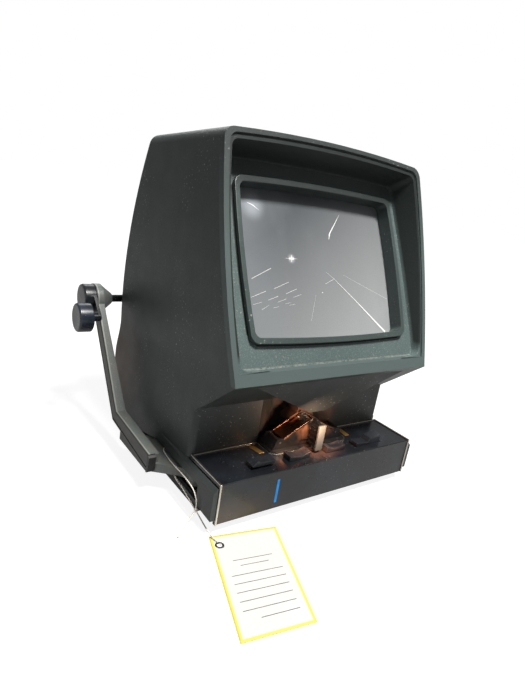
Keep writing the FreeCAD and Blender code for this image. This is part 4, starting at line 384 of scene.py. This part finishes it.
def glow_metal():
    """Film track: polished by film, with its copper tone and bright crest painted in as the lamp's light from
    below.
    """
    # copper tone painted in as the lamp's warm light
    paint = Paint("track_metal", srgb(176, 128, 98), 0.24, 1.0)
    # painted highlight at the crest
    paint.lay(srgb(255, 236, 205), paint.height(58, 68.5))
    run = paint.noise(60, 3.0, (1.0, 30.0, 1.0))
    paint.lay(srgb(96, 62, 46), paint.band(run, 0.45, 0.7), 0.45)
    paint.gloss(run, 0.15, 0.34)
    return paint.bump(run, 0.00003, 0.5)


def coil_core():
    """Stacked iron sheets."""
    paint = Paint("core_iron", srgb(70, 68, 66), 0.5, 0.9)
    sheets = paint.waves(300.0, "Y")
    paint.lay(srgb(38, 36, 34), sheets)
    return paint.bump(sheets, 0.0001, 0.6)


def strip_finish():
    """Pale satin facing with fine rulings."""
    paint = Paint("strip_pale", srgb(146, 144, 136), 0.36, 0.65)
    rules = paint.waves(330.0, "X")
    paint.lay(srgb(92, 90, 85), rules, 0.4)
    paint.gloss(paint.noise(160, 3.0), 0.28, 0.5)
    return paint.bump(rules, 0.00006, 0.5)


def string_fibre():
    """Twisted cotton."""
    paint = Paint("string_cotton", srgb(252, 247, 234), 0.85)
    twist = paint.waves(620.0, "DIAGONAL", 1.5)
    paint.lay(srgb(236, 224, 200), twist, 0.35)
    return paint.bump(twist, 0.00018, 0.8)


def card_paper():
    """Matt card, a little soiled."""
    paint = Paint("tag_paper", srgb(214, 213, 210), 0.75)
    fibre = paint.noise(500, 4.0)
    paint.lay(srgb(206, 204, 198), paint.band(fibre, 0.5, 0.75), 0.3)
    paint.lay(srgb(210, 208, 202), paint.band(paint.noise(30, 2.0), 0.45, 0.7), 0.3)
    return paint.bump(fibre, 0.00005, 0.5)


SHADERS = {
    "housing_paint": housing_finish(),
    "mask_paint": mask_finish(),
    "ring_plastic": ring_finish(),
    "screen_glass": screen_glass(),
    "deck_black": deck_finish(),
    "trim_bright": metal("trim_bright", srgb(214, 210, 202), 0.26, (1.0, 1.0, 1.0), srgb(196, 186, 172)),
    "tab_black": lamp_warmed(gloss_black("tab_black", srgb(30, 32, 36), srgb(52, 56, 62), 0.26), 40, 12, 0.6),
    "switch_plastic": plain("switch_plastic", srgb(40, 40, 42), 0.5, srgb(62, 62, 62)),
    "spring_steel": metal("spring_steel", srgb(150, 150, 150)),
    "gate_black": lamp_warmed(gloss_black("gate_black", srgb(20, 19, 19), srgb(46, 38, 34), 0.3), 30, 8, 0.5),
    "track_metal": glow_metal(),
    "roller_white": plain("roller_dark", srgb(40, 36, 34), 0.32, srgb(70, 60, 52)),
    "pin_steel": metal("pin_steel", srgb(160, 160, 160), 0.3, (1.0, 1.0, 40.0)),
    "drum_metal": metal("drum_metal", srgb(188, 186, 180), 0.28, (40.0, 1.0, 40.0)),
    "optical_glass": clear_glass(),
    "mirror_face": metal("mirror_face", srgb(235, 236, 236), 0.06),
    "fin_black": gloss_black("fin_black", srgb(18, 17, 17), srgb(60, 44, 36), 0.24),
    "strip_pale": strip_finish(),
    "funnel_black": satin_black("funnel_black", srgb(38, 43, 42), 0.45, 1900),
    "sheet_steel": metal("sheet_steel", srgb(140, 140, 138), 0.42),
    "lamp_ceramic": plain("lamp_ceramic", srgb(220, 216, 206), 0.5, srgb(190, 184, 172)),
    "core_iron": coil_core(),
    "cover_paint": enamel("cover_enamel", DARK, srgb(48, 53, 53), srgb(80, 87, 86)),
    "tray_black": satin_black("tray_black"),
    "foot_rubber": plain("foot_rubber", srgb(34, 34, 34), 0.8, srgb(58, 57, 55), 900, 0.0001),
    "screw_steel": metal("screw_steel", srgb(150, 148, 144), 0.32, (30.0, 30.0, 1.0)),
    "arm_paint": arm_finish(),
    "bush_brass": metal("bush_brass", srgb(190, 152, 92), 0.3, (40.0, 1.0, 1.0), srgb(120, 96, 60)),
    "plug_black": plain("plug_black", srgb(26, 26, 27), 0.42, srgb(52, 52, 52)),
    "spindle_black": satin_black("spindle_black", srgb(20, 20, 21), 0.3),
    "crank_gloss": gloss_black("crank_gloss", srgb(22, 25, 30), srgb(46, 50, 57), 0.2),
    "knob_gloss": gloss_black("knob_gloss", srgb(28, 34, 44), srgb(52, 62, 78), 0.18),
    "string_cotton": string_fibre(),
    "tag_paper": card_paper(),
}


# ---- making pieces ------------------------------------------------------------------------------
SAME_POINT = 2e-6                   # metres: points nearer than this are one
FLAT = math.radians(0.4)            # faces this close to one plane are joined
SHARP = math.radians(30)            # edges over this angle are eased
SMOOTH_UNDER = math.radians(31)     # edges under this angle are shaded smooth
EASED = {                           # how far the sharp edges of each node are eased, in millimetres
    "hood_housing": 0.3, "screen_mask": 0.2, "screen_ring": 0.7, "control_deck": 0.5, "deck_trim": 0.2,
    "mark_tab": 0.35, "focus_tab": 0.35, "frame_tab": 0.35, "lamp_rocker": 0.35, "gate_block": 0.3,
    "film_track": 0.15, "format_grip": 0.2, "beam_funnel": 0.5, "lens_holder": 0.4, "bottom_tray": 0.4,
    "left_reel_arm": 0.6, "right_reel_arm": 0.6, "left_arm_plug": 0.5, "right_arm_plug": 0.5,
    "left_crank": 0.3, "right_crank": 0.3, "left_crank_knob": 0.4, "right_crank_knob": 0.4,
    "left_spindle": 0.15, "right_spindle": 0.15, "rear_cover": 0.5, "cord_gland": 0.4, "rubber_feet": 0.3,
    "left_film_roller": 0.15, "right_film_roller": 0.15, "sprocket_drum": 0.1, "grip_strip": 0.15,
}


def new_object(name, data):
    thing = bpy.data.objects.new(name, data)
    bpy.context.collection.objects.link(thing)
    return thing


def from_bmesh(name, form, finish, smooth=True):
    """An object of this form and finish; the form is used up."""
    mesh = bpy.data.meshes.new(name)
    form.to_mesh(mesh)
    form.free()
    mesh.materials.append(finish.material)
    if smooth:
        mesh.shade_smooth()
        mesh.set_sharp_from_angle(angle=SMOOTH_UNDER)
    return new_object(name, mesh)


def body_of_node(node):
    for body, members in frame["record"]["behaviour"]["bodies"].items():
        if node in members:
            return body
    return "root"


def slot_of_node(node):
    for part in frame["record"]["subparts"]:
        if part["node"] == node:
            return part["material_slot"]
    return None


def eased(node, width):
    """The node's own form with its sharp edges eased, which catches the light as a made part does."""
    form = bmesh.new()
    form.from_mesh(frame["nodes"][node].data)
    bmesh.ops.remove_doubles(form, verts=form.verts, dist=SAME_POINT)
    bmesh.ops.dissolve_limit(form, angle_limit=FLAT, verts=form.verts, edges=form.edges)
    edges = [e for e in form.edges if len(e.link_faces) == 2 and e.calc_face_angle(0) > SHARP]
    bmesh.ops.bevel(form, geom=edges, offset=width * MM, segments=2, profile=0.5,
                    affect="EDGES", clamp_overlap=True)
    slot = slot_of_node(node)
    piece = from_bmesh(node + "_skin", form, SHADERS[slot])
    weigh = piece.modifiers.new("weigh", "WEIGHTED_NORMAL")
    weigh.keep_sharp = True
    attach(piece, body_of_node(node))
    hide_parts(node)


def dress_nodes():
    """Give every node its finish, and those with edges to ease a piece of their own."""
    for node, thing in frame["nodes"].items():
        finish = SHADERS[slot_of_node(node)].material
        for slot in thing.material_slots:
            slot.material = finish
        if node in EASED:
            eased(node, EASED[node])


# ---- string -------------------------------------------------------------------------------------
STRING_R = 0.45
STRING_SIDE = -103.5        # x beside the flared side wall
UPPER_Z = 24.95             # heights of the string above and under the arm's plate
LOWER_Z = 15.25
KNOT = (-104.2, 18.0, 10.0)
KNOT_STRING_R = 0.5
KNOT_LOOP = 0.336           # size of the knot's loops
KNOT_SWAY = 0.62            # and how far they cross in front of each other
KNOT_STEPS = 60


def round_curve(name, kind, radius):
    """A curve of one spline, bevelled into a round string."""
    curve = bpy.data.curves.new(name, "CURVE")
    curve.dimensions = "3D"
    curve.bevel_depth = radius * MM
    curve.bevel_resolution = 3
    return curve, curve.splines.new(kind)


def nurbs(name, points, finish):
    """Smooth round string with the route's points as its control points."""
    curve, spline = round_curve(name, "NURBS", STRING_R)
    curve.resolution_u = 10
    spline.points.add(len(points) - 1)
    for spot, (x, y, z) in zip(spline.points, points):
        spot.co = (*at(x, y, z), 1.0)
    spline.order_u = 3
    spline.use_endpoint_u = True
    curve.materials.append(finish.material)
    return new_object(name, curve)


def make_knot(finish):
    """Overhand knot: a small trefoil of the same string."""
    curve, spline = round_curve("string_knot_form", "POLY", KNOT_STRING_R)
    spline.points.add(KNOT_STEPS - 1)
    for i, spot in enumerate(spline.points):
        t = 2 * math.pi * i / KNOT_STEPS
        x = KNOT_LOOP * (math.sin(t) + 2 * math.sin(2 * t))
        y = -KNOT_SWAY * math.sin(3 * t)
        z = KNOT_LOOP * (math.cos(t) - 2 * math.cos(2 * t))
        spot.co = (*at(KNOT[0] + x, KNOT[1] + y, KNOT[2] + z), 1.0)
    spline.use_cyclic_u = True
    curve.materials.append(finish.material)
    knot = new_object("string_knot_form", curve)
    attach(knot, "viewer")
    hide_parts("string_knot")
    return knot


def make_string():
    """Both ends of the string: over and under the arm's plate, through the knot, to the tag and the table."""
    finish = SHADERS["string_cotton"]
    over, under, side = UPPER_Z, LOWER_Z, STRING_SIDE
    upper = [(-92.5, 49, over), (-91.2, 61, over), (-91.5, 71, over), (-92.8, 78, over), (-94.6, 82.6, over),
             (-98.8, 84, over), (-102, 80.4, over), (side, 73.5, over), (side - 1, 60, over),
             (side - 0.6, 41, over), (side - 1.4, 25.5, over - 0.2), (side - 1.1, 19.4, over - 4.6),
             (-104.2, 18.0, 12.6), (-105.2, 17.7, 9.9), (-111, 15.4, 5.2), (-117, 10.8, 1.6), (-123, 7, 0.55)]
    lower = [(-92.2, 49, under), (-94.2, 57.4, under), (-98, 62, under), (-102, 60, under),
             (side - 0.4, 52, under), (side - 0.7, 41, under - 0.5), (side - 1.1, 29.5, under - 2.6),
             (-104.2, 19.8, 10.2), (-104.1, 16.2, 9.4), (-103.3, 8.2, 5.6), (-102.6, -1.5, 2.4),
             (-100.8, -9.2, 1.45)]
    knot = make_knot(finish)
    strand = nurbs("string_over", upper, finish)
    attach(strand, "viewer")
    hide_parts("string_upper", "string_tail")
    second = nurbs("string_under", lower, finish)
    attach(second, "viewer")
    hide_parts("string_lower", "string_tie")


# ---- tag ----------------------------------------------------------------------------------------
TAG = [(-103, -1), (-52, -11), (-82, -93), (-131, -85)]
TAG_MIDDLE = 0.45           # height of the card's middle layer
CARD_T = 0.35
TAG_ROWS, TAG_COLUMNS = 44, 26
HOLE = (-100.6, -11.6)
HOLE_R = 1.6
EYELET_Z = 0.55
EYELET = [(1.9, -0.3), (3.2, -0.3), (3.3, 0.1), (2.6, 0.35), (2.0, 0.3), (1.9, 0.0)]    # (radius, height)
RULE_LIFT = 0.24            # the ruled lines lie this far above the middle layer
RULE_WIDTH = 0.006          # share of the card's length
RULES = [(0.30, 0.22, 0.78), (0.36, 0.30, 0.70), (0.45, 0.14, 0.86), (0.53, 0.14, 0.86),
         (0.61, 0.14, 0.86), (0.69, 0.14, 0.86), (0.77, 0.14, 0.86), (0.85, 0.34, 0.86)]


def tag_point(s, t, lift=0.0):
    """A place on the card: s across from its left edge, t down from its top edge, both 0 to 1."""
    top = Vector(TAG[0]).lerp(Vector(TAG[1]), s)
    low = Vector(TAG[3]).lerp(Vector(TAG[2]), s)
    spot = top.lerp(low, t)
    return at(spot.x, spot.y, TAG_MIDDLE + lift)


def make_card():
    """Card with a hole and a printed yellow border."""
    border = plain("tag_border", srgb(240, 224, 92), 0.7, srgb(228, 208, 70))
    form = bmesh.new()
    grid = [[form.verts.new(tag_point(c / TAG_COLUMNS, r / TAG_ROWS)) for c in range(TAG_COLUMNS + 1)]
            for r in range(TAG_ROWS + 1)]
    hole = at(*HOLE, TAG_MIDDLE)
    on_border = []
    for r in range(TAG_ROWS):
        for c in range(TAG_COLUMNS):
            corners = [grid[r][c], grid[r][c + 1], grid[r + 1][c + 1], grid[r + 1][c]]
            middle = sum((v.co for v in corners), Vector()) / 4
            if (middle - hole).length < HOLE_R * MM:
                continue
            form.faces.new(corners)
            on_border.append(r in (0, TAG_ROWS - 1) or c in (0, TAG_COLUMNS - 1))
    card = from_bmesh("tag_card_form", form, SHADERS["tag_paper"])
    card.data.materials.append(border.material)
    for polygon, edge in zip(card.data.polygons, on_border):
        polygon.material_index = int(edge)
    thick = card.modifiers.new("thick", "SOLIDIFY")
    thick.thickness = CARD_T * MM
    thick.offset = 0.0
    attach(card, "viewer")
    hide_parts("tag_card")


def rule_card():
    """Ruled lines in place of print."""
    form = bmesh.new()
    for t, s0, s1 in RULES:
        corners = [(s0, t), (s1, t), (s1, t + RULE_WIDTH), (s0, t + RULE_WIDTH)]
        form.faces.new([form.verts.new(tag_point(s, u, RULE_LIFT)) for s, u in corners])
    ruled = from_bmesh("tag_ruling", form, plain("tag_rule", srgb(96, 98, 100), 0.7, srgb(120, 122, 124)))
    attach(ruled, "viewer")


def make_eyelet():
    """Dark metal ring in the card's hole."""
    finish = satin_black("eyelet_dark", srgb(52, 50, 48), 0.4)
    ring = turned("tag_eyelet", EYELET, at(*HOLE, EYELET_Z), finish)
    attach(ring, "viewer")


def turned(name, profile, centre, finish, steps=40):
    """Ring turned about an upright axis from a closed (radius, height) profile in millimetres."""
    form = bmesh.new()
    rings = []
    for i in range(steps):
        a = 2 * math.pi * i / steps
        rings.append([form.verts.new(centre + Vector((r * math.cos(a), r * math.sin(a), h)) * MM)
                      for r, h in profile])
    count = len(profile)
    for i in range(steps):
        a, b = rings[i], rings[(i + 1) % steps]
        for j in range(count):
            k = (j + 1) % count
            form.faces.new([a[j], b[j], b[k], a[k]])
    bmesh.ops.recalc_face_normals(form, faces=form.faces)
    return from_bmesh(name, form, finish)


# ---- plates and stripe on the deck --------------------------------------------------------------
DECK_Z = 40.0
PLATE_HALF = 2.4
PLATE_T = 0.3
PLATES = (("plate_left", -45.6, 26.8, 38.5, -2.0), ("plate_right", 47.0, 26.3, 39.1, 1.2))
STRIPE_X, STRIPE_HALF = -47.2, 1.1
STRIPE_Z = (13.2, 33.0)
STRIPE_T = 0.15


def slab(name, corners, thick, finish, bevel):
    """Thin plate with eased edges over four corners, raised by its thickness."""
    up = (corners[1] - corners[0]).cross(corners[3] - corners[0]).normalized() * thick * MM
    form = bmesh.new()
    low = [form.verts.new(c) for c in corners]
    high = [form.verts.new(c + up) for c in corners]
    form.faces.new(low)
    form.faces.new(high)
    for i in range(4):
        j = (i + 1) % 4
        form.faces.new([low[i], low[j], high[j], high[i]])
    bmesh.ops.recalc_face_normals(form, faces=form.faces)
    bmesh.ops.bevel(form, geom=list(form.edges), offset=bevel * MM, segments=1, affect="EDGES", profile=0.5,
                    clamp_overlap=True)
    return from_bmesh(name, form, finish)


def gold_plates():
    """Two gold plates on the deck's top, each leaning by its last value towards the back."""
    gold = metal("plate_gold", srgb(240, 190, 104), 0.42, (1.0, 60.0, 60.0), srgb(214, 160, 80))
    for name, x, y0, y1, lean in PLATES:
        corners = [at(x - PLATE_HALF, y0, DECK_Z), at(x + PLATE_HALF, y0, DECK_Z),
                   at(x + PLATE_HALF + lean, y1, DECK_Z), at(x - PLATE_HALF + lean, y1, DECK_Z)]
        plate = slab(name, corners, PLATE_T, gold, 0.08)
        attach(plate, "viewer")


def blue_stripe():
    """Blue stripe down the deck's front panel."""
    blue = Paint("stripe_blue", srgb(8, 146, 230), 0.35)
    blue.lay(srgb(14, 120, 200), blue.band(blue.noise(160, 3.0), 0.5, 0.8))
    left, right = STRIPE_X - STRIPE_HALF, STRIPE_X + STRIPE_HALF
    low, high = STRIPE_Z
    corners = [at(left, 0, low), at(right, 0, low), at(right, 0, high), at(left, 0, high)]
    stripe = slab("stripe", corners, STRIPE_T, blue, 0.03)
    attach(stripe, "viewer")


# ---- screen panel: parting line with painted shadow, bead, and painted glints on the glass ------
RING_HALF, RING_LOW, RING_HIGH = 75.3, 136.8, 234.9     # opening of the screen's ring
RING_CORNER = 5.0
RING_BOW = 1.6              # its sides bow outward by this much
SIDE_STEPS = 24
SEAM_SHADOW = (3.7, 5.0)           # inner and outer edge of the dark strip, parting line with painted shadow, outside the opening
SEAM_SHADOW_DEPTH = -0.12
MOUTH_DEPTH = 1.8           # the panel's mouth lies this far at most behind the rim
MOUTH_MIDDLE = (0, 30, 190)
BEAD_WIDTH = 0.9
BEAD_RISE = 0.03
BEAD_ROOT = 0.1             # the bead starts this far behind the mouth's edge
STREAK_CORNER = (225, 155)  # the streaks are placed in a five-fold enlargement from this place of the picture
STREAK_SCALE = 5
STREAK_UNIT = 0.06          # half width of a streak for each unit of its width
STREAKS = [                 # start, end, and width at each
    ((133, 618), (230, 566), 2.5, 2.5), ((247, 668), (318, 636), 2, 2), ((130, 712), (204, 681), 2, 2.4),
    ((305, 694), (358, 670), 2, 2), ((216, 726), (266, 706), 1.6, 2), ((342, 712), (382, 697), 1.2, 1.6),
    ((265, 736), (306, 720), 1.4, 2), ((140, 748), (184, 736), 1.4, 1.4), ((186, 773), (220, 752), 1.8, 1),
    ((242, 765), (270, 758), 1.2, 1.2), ((300, 745), (330, 738), 1, 1.2), ((322, 752), (352, 745), 1, 1.2),
    ((502, 645), (548, 618), 1.6, 2), ((505, 585), (548, 622), 1, 1.8), ((548, 622), (660, 736), 2.2, 5),
    ((660, 736), (800, 884), 5, 15), ((570, 300), (522, 395), 0.8, 8), ((522, 395), (519, 425), 11, 1),
    ((300, 516), (333, 518), 0.5, 5), ((333, 518), (362, 520), 5, 0.5), ((333, 500), (333, 536), 4, 4),
    ((322, 518), (344, 518), 13, 13), ((110, 236), (138, 250), 3, 6), ((138, 250), (170, 276), 6, 1),
    ((485, 688), (490, 688), 5, 5), ((455, 700), (432, 830), 0.7, 1.2), ((590, 600), (808, 720), 0.6, 1.6),
]


def ring_outline(grow, depth):
    """Points round the ring's opening, this far outside it: four bowed sides with cut corners."""
    half, low, high = RING_HALF + grow, RING_LOW - grow, RING_HIGH + grow
    corner = RING_CORNER + grow / 2
    steps = [i / SIDE_STEPS for i in range(SIDE_STEPS + 1)]
    bows = [RING_BOW * 4 * t * (1 - t) for t in steps]
    upward = [low + corner + (high - low - 2 * corner) * t for t in steps]
    leftward = [(half - corner) * (1 - 2 * t) for t in steps]
    points = [(half + bow, z) for bow, z in zip(bows, upward)]
    points += [(x, high + bow) for bow, x in zip(bows, leftward)]
    points += [(-half - bow, z) for bow, z in zip(bows, reversed(upward))]
    points += [(x, low - bow) for bow, x in zip(bows, reversed(leftward))]
    return [at(*on_panel(x, z, depth)) for x, z in points]


def ring_seam_shadow():
    """Dark strip round the ring: its parting line, with the raised ring's painted shadow on the panel."""
    form = bmesh.new()
    inner, outer = ([form.verts.new(p) for p in ring_outline(grow, SEAM_SHADOW_DEPTH)] for grow in SEAM_SHADOW)
    count = len(inner)
    for i in range(count):
        j = (i + 1) % count
        form.faces.new([inner[i], inner[j], outer[j], outer[i]])
    seam = from_bmesh("ring_seam_shadow", form, plain("seam_shadow_dark", srgb(16, 18, 18), 0.6, srgb(30, 32, 32)))
    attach(seam, "viewer")


def rim_bead():
    """Narrow bead that closes the joint between the housing's rim and the screen panel's mouth."""
    slope = (RIM_TOP[0] - RIM_LOW[0]) / (RIM_TOP[1] - RIM_LOW[1])
    forward = Vector((0, -1, slope)).normalized()
    origin = at(0, *RIM_LOW)
    panel = bmesh.new()
    panel.from_mesh(frame["nodes"]["screen_mask"].data)
    bmesh.ops.remove_doubles(panel, verts=panel.verts, dist=SAME_POINT)
    front = {f for f in panel.faces if f.normal.dot(forward) > 0.9
             and all((v.co - origin).dot(forward) > -MOUTH_DEPTH * MM for v in f.verts)}
    bead = bmesh.new()
    for edge in panel.edges:
        faces = [f for f in edge.link_faces if f in front]
        walls = [f for f in edge.link_faces if f not in front]
        if len(faces) != 1 or len(walls) != 1:
            continue
        middle = (edge.verts[0].co + edge.verts[1].co) / 2
        if walls[0].normal.dot(middle - at(*MOUTH_MIDDLE)) < 0:
            continue
        low = [v.co - forward * BEAD_ROOT * MM for v in edge.verts]
        high = []
        for v in edge.verts:
            outward = sum((f.normal for f in v.link_faces if f not in front), Vector()).normalized()
            spot = v.co + outward * BEAD_WIDTH * MM
            high.append(spot + forward * (BEAD_RISE * MM - (spot - origin).dot(forward)))
        bead.faces.new([bead.verts.new(p) for p in (low[0], low[1], high[1], high[0])])
    panel.free()
    bmesh.ops.remove_doubles(bead, verts=bead.verts, dist=10 * SAME_POINT)
    bmesh.ops.recalc_face_normals(bead, faces=bead.faces)
    strip = from_bmesh("rim_bead", bead, SHADERS["housing_paint"])
    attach(strip, "viewer")


def on_glass(x, y):
    """The glass at a place of the enlargement."""
    return seen(STREAK_CORNER[0] + x / STREAK_SCALE, STREAK_CORNER[1] + y / STREAK_SCALE,
                GLASS_POINT, PANEL_NORMAL)


def streaks():
    """Scratches with painted glints and reflections on the glass, thin at one end, from their places in the
    view.
    """
    form = bmesh.new()
    for first, last, wide0, wide1 in STREAKS:
        start, end = on_glass(*first), on_glass(*last)
        side = (end - start).cross(PANEL_NORMAL).normalized() * STREAK_UNIT * MM
        form.faces.new([form.verts.new(p) for p in (start - side * wide0, end - side * wide1,
                                                    end + side * wide1, start + side * wide0)])
    # pale strips: painted glints and reflections along scratches
    finish = plain("streak_pale", srgb(236, 236, 234), 0.5, srgb(214, 214, 212), 900, 0.00001)
    marks = from_bmesh("screen_streaks", form, finish)
    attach(marks, "viewer")


# ---- floor and light ----------------------------------------------------------------------------
FLOOR_HALF = 6.0
FLOOR_NEAR, FLOOR_FAR = 0.25, 1.4       # metres from the part: the floor pales between these
FLOOR_SHOWN = (0.88, 1.0)               # its own light at each, as the camera sees it
FLOOR_MIRRORED = 0.28                   # share of that which reflections see
WORLD_DIFFUSE, WORLD_MIRRORED = 0.12, 0.16


def larger_of(tree, a, b):
    """Output of a node that gives the larger of two values."""
    return add_node(tree, "ShaderNodeMath", {0: a, 1: b}, operation="MAXIMUM").outputs[0]


def shown_white(paint):
    """Make the floor look pale to the camera and paler with distance, with its shadow kept."""
    path = paint.make("ShaderNodeLightPath").outputs
    away = paint.make("ShaderNodeVectorMath", {0: paint.place}, operation="LENGTH").outputs["Value"]
    near, far = FLOOR_SHOWN
    links = {"Value": away, "From Min": FLOOR_NEAR, "From Max": FLOOR_FAR, "To Min": near, "To Max": far}
    strength = paint.make("ShaderNodeMapRange", links).outputs["Result"]
    rays = larger_of(paint.tree, path["Is Camera Ray"],
                     paint.math("MULTIPLY", path["Is Glossy Ray"], FLOOR_MIRRORED))
    rays = larger_of(paint.tree, rays, path["Is Transmission Ray"])
    shine = paint.math("MULTIPLY", rays, strength)
    glow = paint.make("ShaderNodeEmission", {"Color": (1, 1, 1, 1), "Strength": shine})
    both = paint.make("ShaderNodeAddShader", {0: paint.shader.outputs[0], 1: glow.outputs[0]})
    paint.tree.links.new(both.outputs[0], paint.tree.nodes["Material Output"].inputs["Surface"])


def make_stage():
    """Pale floor that fades to the white background."""
    paint = Paint("floor_pale", (0.26, 0.26, 0.26, 1.0), 0.9)
    paint.lay((0.25, 0.25, 0.25, 1.0), paint.noise(3, 2.0))
    shown_white(paint)
    form = bmesh.new()
    for x, y in ((-1, -1), (1, -1), (1, 1), (-1, 1)):
        form.verts.new((x * FLOOR_HALF, y * FLOOR_HALF, 0))
    form.faces.new(form.verts)
    floor = from_bmesh("floor", form, paint, False)


def make_world():
    """White behind the part, much dimmer as a light and in reflections."""
    world = bpy.data.worlds.new("world")
    bpy.context.scene.world = world
    world.use_nodes = True
    tree = world.node_tree
    back = tree.nodes["Background"]
    back.inputs["Color"].default_value = (1, 1, 1, 1)
    path = add_node(tree, "ShaderNodeLightPath").outputs
    mirrored = add_node(tree, "ShaderNodeMath", {0: path["Is Glossy Ray"], 1: WORLD_MIRRORED},
                        operation="MULTIPLY").outputs[0]
    shown = larger_of(tree, path["Is Camera Ray"], path["Is Transmission Ray"])
    strength = add_node(tree, "ShaderNodeMapRange", {"Value": larger_of(tree, shown, mirrored),
                                                     "To Min": WORLD_DIFFUSE, "To Max": 1.0})
    tree.links.new(strength.outputs["Result"], back.inputs["Strength"])


def area(name, place, aim, size, power, colour=(1, 1, 1)):
    """Round area lamp; its place and size are in metres, its power in watts."""
    data = bpy.data.lights.new(name, "AREA")
    data.shape = "DISK"
    data.size = size
    data.energy = power
    data.color = colour
    lamp = new_object(name, data)
    lamp.location = place
    lamp.rotation_euler = (Vector(aim) - Vector(place)).to_track_quat("-Z", "Y").to_euler()
    return lamp


def make_lamps():
    """Key above the front, faint fill and back light, and the small warm lamp at the gate."""
    area("key", place=(0.06, -0.7, 1.58), aim=(0, 0, 0.12), size=0.36, power=44.0, colour=(1.0, 0.985, 0.95))
    area("fill", place=(-1.1, -0.5, 0.7), aim=(0, 0, 0.12), size=0.9, power=1.0, colour=(0.92, 0.97, 1.0))
    area("back", place=(0.3, 1.1, 0.9), aim=(0, 0, 0.15), size=0.6, power=2.0)
    glow = area("gate_glow", place=at(-8, 4, 66), aim=at(0, 24, 58), size=0.02, power=0.026,
                colour=(1.0, 0.62, 0.4))
    glow.visible_camera = False


make_camera()
make_card()
rule_card()
make_eyelet()
make_string()
dress_nodes()
gold_plates()
blue_stripe()
ring_seam_shadow()
rim_bead()
streaks()
make_stage()
make_world()
make_lamps()
bpy.context.scene.view_settings.view_transform = "Standard"
